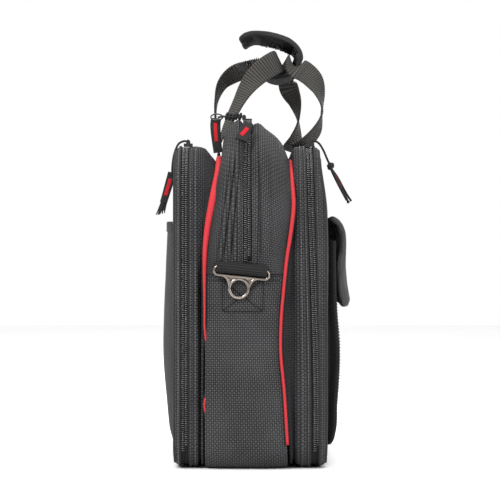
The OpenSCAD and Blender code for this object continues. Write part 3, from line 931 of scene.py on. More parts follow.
def inside_pieces():
    low, high = box_mm("laptop_divider")
    line = [((low.x + high.x) / 2, low.z + 2 + (high.z - low.z - 4) * k / 4) for k in range(5)]
    pad = slab_along_y("divider_pad", line, low.y + 2, high.y - 2, high.x - low.x - 0.6, LINING, corner=24)
    place(puff(pad, line, 4.5, 2.0, 1.2), "bag", "lining", "laptop_divider")
    low, high = box_mm("divider_strap")
    route = [(-15.9, 216), (-15.9, 240), (-16.6, 260), (-20.5, 264), (-26, 262), (-33, 250), (-36, 236)]
    path, t, _ = swept_line(route, 40)
    band = strap("divider_band", path, np.cross(t, [0, 1.0, 0]), high.y - low.y, 1.8, WEBBING)
    place(band, "bag", "webbing", "divider_strap")
    low, high = box_mm("organiser_pocket")
    y, z = np.linspace(low.y, high.y, 90), np.linspace(low.z, high.z, 24)
    grid = np.zeros((len(z), len(y), 3))
    grid[..., 1], grid[..., 2] = y[None], z[:, None]
    gathers = np.abs(np.sin(np.pi * (y - low.y) / (high.y - low.y) * 4))
    grid[..., 0] = (low.x + high.x) / 2 + 1.2 - 2.4 * gathers[None] * ease(z, low.z, high.z)[:, None]
    pocket = thicken(grid_object("organiser_cloth", grid, LINING), 1.2)
    place(pocket, "bag", "lining", "organiser_pocket")
    cut_to(pocket)
    rim = grid[-1] + [0, 0, -1.5]
    place(strap("organiser_binding", rim, (1, 0, 0), 8, 2.6, BINDING), "bag", "weave")


inside_pieces()

# ---- side compartments ---------------------------------------------------

COVER_BEND = (14.0, 30.0)                     # two heights that span a cover's hinge


def side_stations(table, seam_x=None, shift=0.0, fold=0.0):
    """Loops of points for a side compartment from (x, inset) pairs. With seam_x they start at the main seam,
    shift mm from it, and dip by fold mm before the first pair."""
    side, normals = loop(SIDE)
    stations = [at_x(x, side - normals * d) for x, d in table]
    if seam_x is not None:
        seam, seam_n = loop(SEAM)
        first = at_x(seam_x(seam[:, 1]) + shift, seam - seam_n * 2.4)
        middle = lerp(first, stations[0], 0.5)
        middle[:, 1:] -= normals * fold * (1 - ease(side[:, 1], 190, 270))[:, None]
        stations = [first, middle] + stations
    return np.stack(stations, axis=1)


def leaning(points, sign):
    """The front compartment's lean: its zip moves out towards the base and its face draws in at the top."""
    if sign < 0:
        return points
    p = points.copy()
    x, z = points[..., 0], points[..., 2]
    shift = front_zip_x(z) - FRONT_ZIP_X
    share = np.where(x < FRONT_ZIP_X, np.clip((x - 44) / 17, 0, 1), np.clip((77 - x) / 16, 0, 1))
    p[..., 0] += shift * share - 6.5 * ease(z, 252, 318) * np.clip((x - 65.5) / 11, 0, 1)
    return p


def side_compartment(which, sign, seam_x, zip_x, table_in, table_out, shift, fold, dips):
    """One zipped side compartment: the band on the main body, the cover, and the zip between them."""
    body = f"{which}_cover"
    side, normals = loop(SIDE)
    normal3 = np.column_stack([np.zeros(len(normals)), normals])
    bend = ("bag", body, (sign * 77, 0, COVER_BEND[0]), (sign * 77, 0, COVER_BEND[1]))

    def put(obj, on_cover, material_slot="weave", *nodes):
        return (place_bent(obj, *bend, material_slot, *nodes) if on_cover
                else place(obj, "bag", material_slot, *nodes))

    inner = side_stations(table_in, seam_x, shift, fold)
    low = 1 - ease(side[:, 1], 178, 232)
    for column, deep in zip((2, 3), dips):
        inner[:, column] -= normal3 * (deep * low)[:, None]
    still = np.linspace(1, 0, inner.shape[1])[None]
    around = np.repeat(normal3[:, None], inner.shape[1], axis=1)
    inner = leaning(pushed(inner, around, 0.9 * soft_noise(inner, (24, 44, 44), 41 + sign) * still), sign)
    # The inner band wears the darker copy of the weave: painted shade in the recess between the main seam and
    # the zip.
    cloth = grid_object(f"{which}_inner_band", inner[:, ::sign], FABRIC_PAINTED_SHADE, wrap_rows=True)
    cut_to(put(thicken(cloth, 2.2, 0.4), False, "weave", f"{which}_inner_gusset"))

    outer = leaning(side_stations(table_out), sign)
    rows = outer.shape[1]
    centre = np.array([0, FACE_MIDDLE_Z])
    rim = outer[:, -1, 1:]
    face = []
    for share in (0.985, 0.96, 0.93, 0.88, 0.80, 0.70, 0.60, 0.50, 0.42):
        x = outer[:, -1, 0] + sign * (1 - share ** 6) * ease(1 - share, -0.05, 0.2)
        face.append(at_x(x, centre + (rim - centre) * share))
    grid = np.concatenate([outer, np.stack(face, axis=1)], axis=1)
    on_face = np.repeat([0.0, 1.0], [rows, len(face)])[None, :, None]
    round_it = np.repeat(normal3[:, None], grid.shape[1], axis=1) * 0.6
    direction = lerp(round_it, np.array([sign * 1.0, 0, 0]), on_face)
    strength = np.concatenate([np.linspace(0.2, 0.7, rows), np.full(len(face), 1.0)])[None]
    grid = filled(pushed(grid, direction, (1.1 * soft_noise(grid, (40, 60, 60), 51 + sign)
                                           + 0.5 * soft_noise(grid, (16, 22, 22), 55 + sign)) * strength))
    cloth = thicken(grid_object(f"{which}_cover_cloth", grid[:, ::sign], FABRIC, wrap_rows=True), 2.4, 0.4)
    put(flat_cloth(cloth), True, "weave", f"{which}_panel", f"{which}_outer_gusset", f"{which}_lower_shell")
    cut_to(cloth)

    line = leaning(at_x(zip_x, side - normals * 0.4), sign)
    kept = np.flatnonzero(side[:, 1] > 16)
    chain = slice(kept[0], kept[-1] + 1)
    for half, way in (("inner", -sign), ("outer", sign)):
        away = np.array([way * 1.0, 0, 0])
        tape = np.stack([line + away * d - normal3 * 0.35 for d in (0.02, 2.4, 4.6, 7.2)], axis=1)
        tape = thicken(grid_object(f"{which}_{half}_tape", tape[:, ::way], TAPE, wrap_rows=True), 0.8)
        teeth = zip_teeth(f"{which}_{half}_teeth", line[chain], normal3[chain], away, 0.25 + 0.25 * way)
        put(tape, half == "outer", "zip")
        put(teeth, half == "outer", "zip", f"{which}_{half}_zip")

    rows = ((table_in[-2][0] - sign * 0.6, 1.4, False), (table_out[1][0] + sign * 1.0, 1.3, True),
            (table_in[2][0] + sign * 1.2, 1.4, False))
    for k, (x, lift, on_cover) in enumerate(rows):
        row = leaning(at_x(x, side + normals * lift), sign)
        put(stitches(f"{which}_gusset_stitch_{k}", row, normal3, material=THREAD_LIGHT), on_cover)
    edge_x, edge_inset = table_out[-2]
    for name, x, lift, radius, on_cover in (("edge_binding", edge_x, 0.9 - edge_inset, 1.7, True),
                                            ("zip_lip", table_in[-2][0] + sign * 0.5, 0.9, 1.3, False),
                                            ("outer_lip", table_out[0][0] + sign * 0.8, 0.9, 1.3, True)):
        cord = leaning(at_x(x, side + normals * lift), sign)
        put(tube(f"{which}_{name}", cord, normal3, radius, BINDING, closed=True), on_cover)


# Each side compartment's section as (x, inset) pairs: from the main seam to its zip, and from the zip out.
REAR_IN = [(-46.0, 1.8), (-50.0, 0.3), (-53.5, 0.0), (-54.5, -0.5), (-60.0, 0.0), (-61.2, 0.6)]
REAR_OUT = [(-69.8, 0.6), (-70.8, 0.3), (-73.0, 1.4), (-75.4, 4.4), (-76.4, 9.0)]
FRONT_IN = [(44.6, 1.8), (46.6, 0.2), (49.6, 0.0), (51.0, -0.5), (55.6, 0.0), (56.8, 0.6)]
FRONT_OUT = [(65.4, 0.6), (66.4, 0.3), (72.0, 1.2), (75.4, 4.0), (77.0, 9.0)]
side_compartment("rear", -1, rear_seam_x, REAR_ZIP_X, REAR_IN, REAR_OUT,
                 shift=-3.0, fold=13.0, dips=(12.0, 8.0))
side_compartment("front", 1, front_seam_x, FRONT_ZIP_X, FRONT_IN, FRONT_OUT,
                 shift=3.0, fold=5.0, dips=(4.5, 1.5))

# ---- front pocket, flap and rear slip pocket -----------------------------


def pocket_outline(half, z0, z1, r, count=210):
    """A U in the YZ plane: down the near side, along the bottom and up the far side, with outward normals."""
    up = z1 - z0 - r
    run = 2 * (half - r)
    arc = math.pi / 2 * r
    flat, normals = [], []

    def put(y, z, ny, nz):
        flat.append((y, z))
        normals.append((ny, nz))

    for s in np.linspace(0, 2 * up + 2 * arc + run, count):
        if s < up:
            put(-half, z1 - s, -1, 0)
        elif s < up + arc:
            a = math.pi + (s - up) / r
            put(-half + r + r * math.cos(a), z0 + r + r * math.sin(a), math.cos(a), math.sin(a))
        elif s < up + arc + run:
            put(-half + r + s - up - arc, z0, 0, -1)
        elif s < up + 2 * arc + run:
            a = 1.5 * math.pi + (s - up - arc - run) / r
            put(half - r + r * math.cos(a), z0 + r + r * math.sin(a), math.cos(a), math.sin(a))
        else:
            put(half, z0 + r + s - up - 2 * arc - run, 1, 0)
    return np.array(flat), np.array(normals)


def front_pocket():
    low, high = box_mm("pocket_bellows")
    out_x = box_mm("pocket_panel")[1].x
    half, z0, z1, r = high.y, low.z - 4.5, high.z, 12
    proud = smooth_curve([(20, 0.42), (25, 0.70), (34, 0.92), (60, 1.06), (110, 1.34), (160, 1.04),
                          (200, 0.96), (232, 0.92)])
    flat, normals = pocket_outline(half, z0, z1, r)
    folds = ((low.x + 0.6, 1.0), (low.x + 2.2, 1.6), (low.x + 4.2, -2.0), (low.x + 6.4, 1.4),
             (high.x + 1.4, 1.8), (out_x, 0.2))
    p = np.stack([at_x(x, flat + normals * d) for x, d in folds], axis=1)
    p = wrinkled(p, np.array([0.3, 0.6, 0.3]), 1.1, (20, 34, 34), 61)
    p[..., 0] = low.x + (p[..., 0] - low.x) * proud(p[..., 2])
    # The gusset wears the darkest copy of the weave: painted shade on the pocket's set-back side.
    bellows = thicken(grid_object("pocket_gusset", p, FABRIC_PAINTED_DEEP_SHADE), 1.8)
    cut_to(place(bellows, "front_cover", "weave", "pocket_bellows"))

    v = np.linspace(0, 1, 40)
    u = np.linspace(-1, 1, 64)
    z = lerp(z0 + 0.5, z1 - 1, v)
    corner = np.clip(1 - (z - z0) / r, 0, 1)
    width = half - r * (1 - np.sqrt(np.maximum(1 - corner ** 2, 0)))
    grid = np.zeros((len(v), len(u), 3))
    grid[..., 1] = width[:, None] * u[None]
    grid[..., 2] = z[:, None]
    rise = np.clip(np.sin(np.pi * np.clip(v, 0.02, 0.62)), 0, 1)[:, None] ** 0.5
    grid[..., 0] = out_x - 1.2 + 2.2 * np.clip(1 - np.abs(u), 0, 1)[None] ** 0.35 * rise
    grid = wrinkled(grid, np.array([1.0, 0, 0]), 1.0, (30, 50, 40), 63)
    grid[..., 0] = low.x + (grid[..., 0] - low.x) * proud(grid[..., 2])
    face = thicken(grid_object("pocket_face", grid, SMOOTH), 2.2, 0.5)
    cut_to(place(face, "front_cover", "weave", "pocket_panel"))

    n3 = np.column_stack([np.full(len(flat), 0.7), normals * 0.7])
    rim = at_x(low.x + (out_x - 0.6 - low.x) * proud(flat[:, 1]), flat + normals * 0.8)
    place(close_ends(tube("pocket_edge_binding", rim, n3, 1.5, BINDING)), "front_cover", "weave")
    seam = at_x(low.x + 0.4, flat + normals * 1.4)
    place(close_ends(tube("pocket_seam_cord", seam, n3, 1.3, BINDING)), "front_cover", "weave")
    line = at_x(low.x + 1.6, flat + normals * 2.6)
    sewn("pocket_side_stitch", line, np.column_stack([np.zeros(len(flat)), normals]), "front_cover")
    line = at_x(low.x + (out_x + 1.0 - low.x) * proud(flat[:, 1]), flat - normals * 4)
    sewn("pocket_face_stitch", line, (1, 0, 0), "front_cover")
    top = grid[-1] - [0, 0, 4]
    place(strap("pocket_mouth_binding", top, (1, 0, 0), 9, 3.6, BINDING), "front_cover", "weave")

    low, high = box_mm("pocket_corner_tabs")
    for end, way in ENDS:
        heights = (low.z, (low.z + high.z) / 2, high.z)
        line = bezier([((low.x + high.x) / 2 - 0.4, way * (half + 1.9), z) for z in heights], 12)
        tab = strap(f"pocket_red_tab_{end}", line, (0, way, 0), 2.6, 1.2, RED_TAPE)
        place(tab, "front_cover", "piping", *["pocket_corner_tabs"] * (way < 0))


def stitch_box(name, corners, normal, body, material_slot):
    """A sewn box with a cross in it."""
    c = [np.array(v, float) for v in corners]
    for k, (a, b) in enumerate(((0, 1), (1, 2), (2, 3), (3, 0), (0, 2), (1, 3))):
        line = np.array([lerp(c[a], c[b], t) for t in np.linspace(0.02, 0.98, 12)])
        sewn(f"{name}_{k}", line, normal, body, material_slot, pitch=3.0, length=2.1, radius=0.6)


def flap():
    low, high = box_mm("pocket_flap")
    line = [(80.5, 253.5), (85.5, 251.4), (90.0, 246.5), (93.0, 239), (93.9, 228), (93.4, 207), (94.4, 190),
            (96.4, 174), (99.6, 161)]
    pad = slab_along_y("flap_pad", line, low.y, high.y, (5.4, 8.4), SMOOTH, corner=7, rows=44, cols=70)
    place(puff(pad, line, 3.0, 4.0, 1.8), "flap", "weave", "pocket_flap")
    mid, _, side = swept_line(line, 60)
    side = side * -1
    part = slice(6, 50)
    for end, y in ((NEAR, low.y + 7), (FAR, high.y - 7)):
        row = mid[part] + side[part] * np.linspace(3.9, 5.3, 44)[:, None] + [0, y, 0]
        sewn(f"flap_stitch_{end}", row, side[part], "flap")
    hem = np.tile(mid[52], (60, 1))
    hem[:, 1] = np.linspace(low.y + 22, high.y - 22, 60)
    sewn("flap_edge_stitch", hem + side[52] * 5.4, side[52], "flap")
    for node in ("flap_loop_patches", "pocket_hook_patches"):
        dress(node, HOOK)


def slip_pocket():
    low, high = box_mm("slip_pocket")
    hem_low, hem_high = box_mm("slip_pocket_hem")
    profile = smooth_curve([(20, -79), (30, -81), (70, -85.6), (120, -88.6), (150, -88.4), (200, -86.2),
                            (235, -84.4), (250, -84)])
    z = np.linspace(low.z, hem_high.z, 54)
    rise = np.array([0, 0.3, 0.6, 0.86, 0.97])
    edge = np.array([1.0, 1.002, 0.999, 0.992, 0.98])
    u = np.concatenate([-edge, np.linspace(-0.965, 0.965, 64), edge[::-1]])
    depth = np.concatenate([rise, np.ones(64), rise[::-1]])
    grid = np.zeros((len(z), len(u), 3))
    grid[..., 1] = -high.y * u[None]
    grid[..., 2] = z[:, None]
    fall = depth[None] * np.minimum(1, (z[:, None] - low.z) / 14 + 0.15) ** 0.5
    grid[..., 0] = lerp(-77.4, profile(z)[:, None], fall)
    grid = wrinkled(grid, np.array([-1.0, 0, 0]), 1.1, (30, 60, 50), 71)
    cloth = thicken(grid_object("slip_cloth", grid, SMOOTH), 2.0, 0.4)
    cut_to(place(cloth, "rear_cover", "weave", "slip_pocket"))
    row = int(np.argmin(np.abs(z - (hem_low.z + hem_high.z) / 2)))
    rim = grid[row] + [-0.2, 0, 0]
    hem = strap("slip_hem", rim, (-1, 0, 0), hem_high.z - hem_low.z, 3.6, SMOOTH)
    place(hem, "rear_cover", "weave", "slip_pocket_hem")
    sewn("slip_hem_stitch", rim[3:-3] + [-1.9, 0, -4.2], (-1, 0, 0), "rear_cover")


front_pocket()
flap()
slip_pocket()

# ---- end tabs, rings, sliders and pulls ----------------------------------


def end_tab(end, way):
    """Wide webbing rolled through the strap ring, and the sewn box that holds its ends."""
    slope = math.tan(math.radians(6))
    route = [(207, 195.6), (210.5, 195.6), (214.0, 196.0), (217.6, 196.4), (220.6, 198.0), (222.2, 201.0),
             (221.4, 204.2), (218.6, 206.0), (214.8, 205.6), (211.6, 202.6), (209.0, 199.4), (206, 198.0)]
    fine = bezier([(0, y, z) for y, z in route], 64)[:, 1:]
    cols = np.linspace(-33, 17, 22)
    p = np.zeros((len(fine), len(cols), 3))
    p[..., 0] = cols[None]
    p[..., 1] = way * fine[:, :1]
    p[..., 2] = fine[:, 1:] - (cols[None] + 8) * slope * ease(fine[:, 0], 207, 214)[:, None]
    band = thicken(grid_object(f"end_band_{end}", p[:, ::way], WEBBING_DARK), 1.9, 0.3)
    place(band, "bag", "webbing", f"end_tab_{end}")
    y = way * 214.6
    x0, x1, z0, z1 = -28.0, 13.0, box_mm(f"end_tab_{end}")[0].z + 7, 190
    corners = [(x0, y, z0), (x1, y, z0), (x1, y, z1), (x0, y, z1)]
    stitch_box(f"end_box_{end}", corners, (0, way, 0), "bag", "weave")
    strap_ring(end, way, slope)


def strap_ring(end, way, slope):
    """The strap ring: a long round-ended loop of wire round the webbing, with a round eye under it, two
    curved shoulders and a flat web between them."""
    wire, eye_radius, eye_x, eye_z = 1.65, 9.35, -1.0, -20.0
    half, drop = 27.4, 8.6
    c, s = math.cos(math.atan(slope)), -math.sin(math.atan(slope))

    def world(local):
        x, z = np.array(local, float).T
        return np.column_stack([-8 + x * c - z * s, np.full(len(x), way * 217.0), 201.5 + x * s + z * c])

    def wire_loop(name, line, *nodes):
        place(tube(f"{name}_{end}", world(line), (0, way, 0), wire, RING_METAL, closed=True, sides=14),
              f"{end}_ring", "ring_metal", *nodes)

    r = drop / 2
    angles = np.linspace(math.pi / 2, -math.pi / 2, 18)
    turn = [(half - r + r * math.cos(t), -r + r * math.sin(t)) for t in angles]
    over = [(x, 0) for x in np.linspace(-half + r, half - r, 24)[:-1]]
    under = [(x, -drop) for x in np.linspace(half - r, -half + r, 24)[1:-1]]
    wire_loop("ring_slot", over + turn + under + [(-x, z) for x, z in reversed(turn)][:-1], f"ring_{end}")
    a = circle(64)
    wire_loop("ring_eye", np.column_stack([eye_x + eye_radius * np.cos(a), eye_z + eye_radius * np.sin(a)]))
    shoulder = ((19.5, -8.7), (16, -9.2), (13.2, -10.8), (11.3, -13.6), (10.0, -17.2), (9.4, -20.5))
    web = ((17, -8.8), (13.6, -10.6), (11.6, -13.2), (10.0, -17.0), (7.6, -14.4), (4.4, -11.4), (1.0, -10.4),
           (0, -8.8))
    n = len(web)
    faces = [tuple(range(n)), tuple(reversed(range(n, 2 * n)))]
    faces += [((i + 1) % n, i, i + n, (i + 1) % n + n) for i in range(n)]
    for sign, letter in ((-1, "a"), (1, "b")):
        arm = bezier(world([(eye_x + sign * d, z) for d, z in shoulder]), 30)
        width = lerp(1.2, 1.65, np.sin(np.linspace(0, math.pi, 30)))
        arm = close_ends(tube(f"ring_shoulder_{end}_{letter}", arm, (0, way, 0), width, RING_METAL, sides=12))
        place(arm, f"{end}_ring", "ring_metal")
        plate = world([(eye_x + sign * d, z) for d, z in web])
        verts = np.vstack([plate + [0, 0.9, 0], plate - [0, 0.9, 0]])
        place(mesh_object(f"ring_web_{end}_{letter}", verts, faces, RING_METAL), f"{end}_ring", "ring_metal")


for end, way in ENDS:
    end_tab(end, way)

for node in ("front_slider", "rear_slider", "main_slider_a", "main_puller_a",
             "main_slider_b", "main_puller_b"):
    dress(node, METAL, width=0.3 * MM, limit_method="ANGLE")


def frayed(name, point, direction, across, normal, width, count, length, body, seed):
    """Loose threads at the cut end of a tape."""
    rng = np.random.default_rng(seed)
    direction, across, normal = (np.array(v, float) for v in (direction, across, normal))
    verts, faces = [], []
    for k in range(count):
        base = point + across * width * ((k + 0.5) / count - 0.5)
        lean = direction + across * rng.normal(0, 0.30) + normal * rng.normal(0, 0.25)
        path = bezier([base - direction * 1.5, base + lean * length * 0.5,
                       base + lean * length * rng.uniform(0.8, 1.2) + across * rng.normal(0, 0.6)], 7)
        _, n, b = frames(path, normal)
        ring = [path + 0.42 * (math.cos(a) * n + math.sin(a) * b) * (1 - 0.5 * np.linspace(0, 1, 7))[:, None]
                for a in np.linspace(0, 2 * math.pi, 5)[:-1]]
        start = len(verts)
        for i in range(7):
            verts += [r[i] for r in ring]
        for i in range(start, start + 24, 4):
            faces += [(i + j, i + (j + 1) % 4, i + 4 + (j + 1) % 4, i + 4 + j) for j in range(4)]
        faces += [tuple(start + j for j in (3, 2, 1, 0)), tuple(start + 24 + j for j in range(4))]
    place(mesh_object(name, verts, faces, PULL_TAPE), body, "pull_tape")


def tape_pull(name, route, facing, width, thickness, body, node, stripe, threads=0, seed=0):
    """A folded tape on a zip pull, with a red stripe on its face and frayed cut ends. stripe holds where
    the stripe starts and ends along the tape, and its share of the tape's width."""
    path = bezier(route, 34)
    w = width * (1 - 0.12 * ease(np.linspace(0, 1, 34), 0.3, 1.0))
    place(strap(f"{name}_tape", path, facing, w, thickness, PULL_TAPE), body, "pull_tape", node)
    t, n, b = frames(path, facing)
    part = slice(int(stripe[0] * 33), int(stripe[1] * 33) + 1)
    face = path[part] + n[part] * (thickness * 0.5)
    mark = strap(f"{name}_mark", face, n[part], width * stripe[2], 0.7, RED_TAPE)
    place(mark, body, "piping")
    for k in range(threads):
        point = path[-1] + b[-1] * (k - (threads - 1) / 2) * (width * 0.55)
        frayed(f"{name}_threads_{k}", point, t[-1], b[-1], n[-1], width * 0.5, 9, 3.4, body, seed + k)


def knot(name, centre, radius, axis, body):
    """A tight overhand knot: a cord wound on itself."""
    a = circle(72)
    x = unit(np.cross(axis, [0.3, 1.0, 0.2]))
    y = np.cross(unit(np.array(axis, float)), x)
    r = radius * (0.62 + 0.25 * np.cos(3 * a))
    p = (np.array(centre) + (np.cos(2 * a) * r)[:, None] * x + (np.sin(2 * a) * r)[:, None] * y
         + (np.sin(3 * a) * radius * 0.5)[:, None] * unit(np.array(axis, float)))
    n = np.cos(2 * a)[:, None] * x + np.sin(2 * a)[:, None] * y
    place(tube(name, p, n, radius * 0.42, PULL_TAPE, closed=True, sides=8), body, "pull_tape")


def pulls():
    y = -165.0
    loops = (("front", [(61.5, 330.4), (65.5, 331.2), (70.5, 328.6), (75.2, 321), (78.8, 312.5), (81.6, 307)]),
             ("rear", [(-63.5, 330.4), (-67.5, 331.0), (-73.0, 328.0), (-77.0, 319), (-79.0, 308),
                       (-79.6, 296)]))
    for side, route in loops:
        path = bezier([(x, y, z) for x, z in route], 40)
        lift = np.cross(tangents(path), [0, 1.0, 0])
        cord = strap(f"{side}_pull_loop", path, lift, 5.0, 2.0, PULL_TAPE)
        place(cord, f"{side}_pull", "metal", f"{side}_puller")
    knot("front_pull_knot", (82.2, y, 305.5), 3.4, (0.5, 0, -0.85), "front_pull")
    tape_pull("front_pull", [(80.6, y, 309), (84.6, y, 299), (91, y, 286), (99, y, 271)], (0.85, 0, 0.5),
              8.5, 2.8, "front_pull", "front_pull_tab", (0.35, 0.75, 0.45), threads=2, seed=81)
    route = [(82.4, y + 1.5, 304), (89.5, y + 2, 294), (97.6, y + 2.6, 279), (103.4, y + 3, 270)]
    tail = strap("front_pull_tail", bezier(route, 24), (0.85, 0, 0.5), 7.5, 1.9, PULL_TAPE)
    place(tail, "front_pull", "pull_tape")
    tape_pull("rear_pull", [(-79.4, y, 299), (-81.6, y, 291), (-84.8, y, 280), (-88.4, y, 268)], (0, -1, 0),
              8.5, 2.6, "rear_pull", "rear_pull_tab", (0.30, 0.80, 0.42))
    for k, (dx, dz) in enumerate(((-4.0, -11.0), (1.2, -9.5))):
        a = np.array([-87.0 + dx * 0.35, y + 0.6 * k, 270.0])
        b = np.array([-89.4 + dx * 0.8, y + 0.6 * k, 270.0 + dz])
        path = bezier([a, lerp(a, b, 0.5), b], 10)
        tail = strap(f"rear_pull_tail_{k}", path, (0, -1, 0), 4.4, 1.6, PULL_TAPE)
        place(tail, "rear_pull", "pull_tape")
        frayed(f"rear_tail_threads_{k}", b, unit(b - a), (1, 0, 0), (0, -1, 0), 4.2, 8, 3.2,
               "rear_pull", 88 + k)
    route = [(-34.4, -172, 354), (-35.2, -172, 347), (-34.4, -172, 334), (-32.4, -172, 319)]
    tape_pull("top_pull", route, (0, -1, 0), 10.5, 2.6, "top_pull", "main_tab_b", (0.26, 0.76, 0.34))
    a = circle(48)
    centre = np.array([-33.8, -172, 355.2])
    ring = np.column_stack([np.cos(a) * 6.0, np.sin(a) * 5.0, np.sin(a) * 3.4]) + centre
    place(tube("top_pull_loop", ring, ring - centre, 0.8, METAL, closed=True, sides=8), "top_pull", "metal")
    a = circle(28)
    for k in range(5):
        centre = np.array([-10.0 - 3.4 * k, -172.0, 355.6 + 0.6 * math.sin(k * 2.1)])
        p = centre + np.column_stack([np.sin(a) * 0.8 + 0.5 * np.cos(a), np.cos(a) * 2.9, np.sin(a) * 2.9])
        wrap = tube(f"top_pull_wrap_{k}", p, p - centre, 1.25, PULL_TAPE, closed=True, sides=8)
        place(wrap, "top_pull", "pull_tape")


def corner_tab():
    """The wide tab of the zip's other pull, at the near top corner, with a red mark and a ragged edge."""
    low, high = box_mm("main_tab_a")
    middle = (low.x + high.x) / 2
    top = np.array([middle + 1.0, low.y + 3.0, high.z + 4.5])
    foot = np.array([middle - 6.0, low.y - 1.5, low.z + 2.0])
    path = bezier([top, lerp(top, foot, 0.35) + [0, -0.8, 0], lerp(top, foot, 0.7) + [0, -0.8, 0], foot], 26)
    facing = (0, -0.8, 0.55)
    tab = strap("corner_pull_tape", path, facing, lerp(10.0, 13.5, np.linspace(0, 1, 26)), 2.8, PULL_TAPE)
    place(tab, "corner_pull", "pull_tape", "main_tab_a")
    t, n, b = frames(path, facing)
    lean = bezier([path[7] + b[7] * -1.5, path[13], path[19] + b[19] * 1.8], 10) + n[13] * 1.6
    place(strap("corner_pull_mark", lean, n[13], 4.2, 0.8, RED_TAPE), "corner_pull", "piping")
    frayed("corner_pull_threads", path[-1], t[-1], b[-1], n[-1], 12, 16, 2.4, "corner_pull", 95)


pulls()
corner_tab()

# ---- carry handles and grip wrap -----------------------------------------


def handle(which, near, bar, far):
    """One length of webbing: up the near leg, along inside the grip and down the far leg. near, bar and far
    hold (x, y, z, nx, ny, nz) knots: a point and the way the webbing's flat side faces."""
    knots = np.array(near + bar + far[::-1], float)
    path, facing = bezier(knots[:, :3], 260), bezier(knots[:, 3:], 260)
    webbing = strap(f"{which}_handle_webbing", path, facing, 25.0, 2.3, WEBBING)
    place(webbing, f"{which}_carry", "webbing", f"{which}_handle")


def handles():
    handle("rear",
           [(-34.5, -74.5, 326, -1, 0, 0.3), (-29, -74.5, 342, -1, -0.2, 0.35),
            (-20.5, -74.5, 360, -0.9, -0.42, 0.4), (-11.5, -74, 378, -0.82, -0.55, 0.4),
            (-3.5, -73.5, 392, -0.62, -0.75, 0.35), (6, -73, 404, -0.3, -0.95, 0.3),
            (16, -72, 412.5, 0, -1, 0.2), (25, -69, 418.5, 0.15, -1, 0.1)],
           [(30.5, -60, 421.5, 0.85, -0.45, 0.4), (31.5, -40, 421.5, 0.85, 0, 0.45), (28, 0, 421, 0.7, 0, 0.6),
            (20, 44, 423, 0.3, 0.2, 0.9)],
           [(-34.5, 74.5, 326, -1, 0, 0.2), (-37.5, 74.5, 346, -1, 0, 0.05), (-39, 74.5, 368, -1, 0.0, 0.05),
            (-38, 74.5, 388, -0.98, 0.1, 0.2), (-31, 74, 407, -0.75, 0.45, 0.5),
            (-16, 72, 419, -0.3, 0.8, 0.6), (2, 64, 423, 0, 0.8, 0.7)])
    handle("front",
           [(46.5, -74.5, 327, 0.45, -0.45, -0.75), (60, -74.5, 334.5, 0.55, -0.45, -0.65),
            (71.5, -74.5, 348, 0.85, -0.35, -0.3), (76.4, -74.5, 367, 1, 0, 0),
            (74, -74.5, 386, 0.85, -0.45, 0.2), (67.5, -74, 400, 0.45, -0.9, 0.3),
            (58.5, -72, 409, 0.3, -0.95, 0.2), (50, -68, 413.5, 0.4, -0.9, 0.2)],
           [(45.6, -57, 416, 0.9, -0.4, 0.3), (45.0, -30, 419, 1, 0, 0.3), (44.5, 10, 420, 1, 0, 0.35),
            (43, 50, 419, 0.9, 0.3, 0.35)],
           [(46.5, 74.5, 330, 0.4, -0.8, 0.4), (52, 74.5, 346, 0.8, -0.5, 0.2), (54.5, 74.5, 366, 1, 0, 0),
            (51, 74.5, 386, 0.8, 0.5, 0.1), (44, 74, 402, 0.45, 0.8, 0.2), (42, 68, 414, 0.6, 0.6, 0.4)])
    feet = (("rear", -1, [(-35.5, 308), (-34.2, 316), (-33.0, 323)]),
            ("front", 1, [(43.6, 312), (45.2, 319), (46.2, 325)]))
    for which, facing, route in feet:
        for end, way in ENDS:
            path = bezier([(x, way * 74.5, z) for x, z in route], 10)
            foot = strap(f"{which}_anchor_{end}", path, (facing, 0, 0.2), 25.0, 2.6, WEBBING)
            place(foot, "bag", "webbing", *[f"{which}_handle_anchors"] * (way < 0))


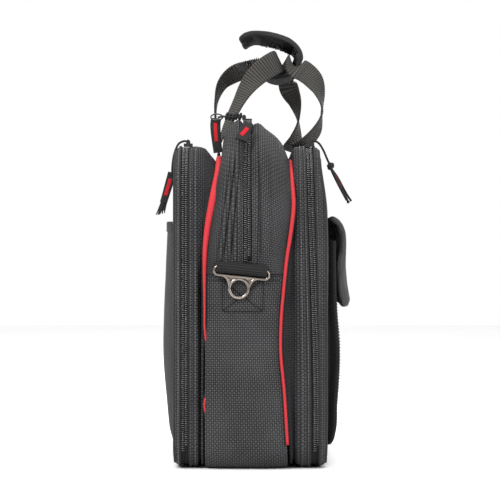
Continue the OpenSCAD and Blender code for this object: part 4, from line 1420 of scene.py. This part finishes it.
def grip():
    low, high = (v.y for v in box_mm("grip_wrap"))
    wrap_line = [(49.5, 431.5), (51.6, 424), (50.0, 415.5), (42, 408.5), (28, 405), (11, 405.5), (-4, 410),
                 (-17.5, 417.5)]
    wrap = slab_along_y("grip_wrap_pad", wrap_line, low, high, 4.8, PADDING, corner=9, rows=44, cols=44,
                        swing=(30, 20), late=3)
    place(puff(wrap, wrap_line, 2.2, 4.0, 1.6), "front_carry", "padding", "grip_wrap")
    flap_line = [(54.4, 422), (53.2, 431), (47.6, 439.5), (38, 445.6), (22, 450.2), (6, 451.6), (-4.6, 449.2),
                 (-11.6, 443.4)]
    top = slab_along_y("grip_flap_pad", flap_line, low, high, (4.6, 5.6), PADDING, corner=9, rows=36, cols=44,
                       swing=(5, 1))
    puff(top, flap_line, 2.2, 4.0, 1.6)
    place_bent(top, "front_carry", "wrap_flap", (54, 0, 425), (43, 0, 443), "padding", "grip_flap")
    rng = np.random.default_rng(12)
    verts, faces = capsule(2.4, 0.34, sides=5)
    inside = np.array([24.0, 0, 428.0])
    for name, line, body, t0, t1 in (("wrap_loops", wrap_line, "front_carry", 0.42, 0.60),
                                     ("flap_hooks", flap_line, "wrap_flap", 0.30, 0.66)):
        mid, t, side = swept_line(line, 80)
        side *= np.sign(np.sum((inside - mid) * side, axis=1))[:, None]
        placements = []
        for _ in range(1500):
            k = rng.uniform(int(t0 * 79), int(t1 * 79))
            i = int(k)
            a = unit(side[i] + rng.normal(0, 0.55, 3))
            b = unit(np.cross(a, [0.2, 1.0, 0.1]))
            p = mid[i] + side[i] * 3.2 + t[i] * (k - i) * 0.6 + [0, rng.uniform(low + 6, high - 6), 0]
            placements.append((p, a, b, np.cross(a, b)))
        place(copies(f"grip_{name}", verts, faces, placements, HOOK), body, "hook_tape")


handles()
grip()

# ---- floor ---------------------------------------------------------------

FLOOR_HALF = 4000
corners = [(x * FLOOR_HALF, y * FLOOR_HALF, 0) for x, y in ((-1, -1), (1, -1), (1, 1), (-1, 1))]
mesh_object("floor", corners, [(0, 1, 2, 3)], FLOOR)
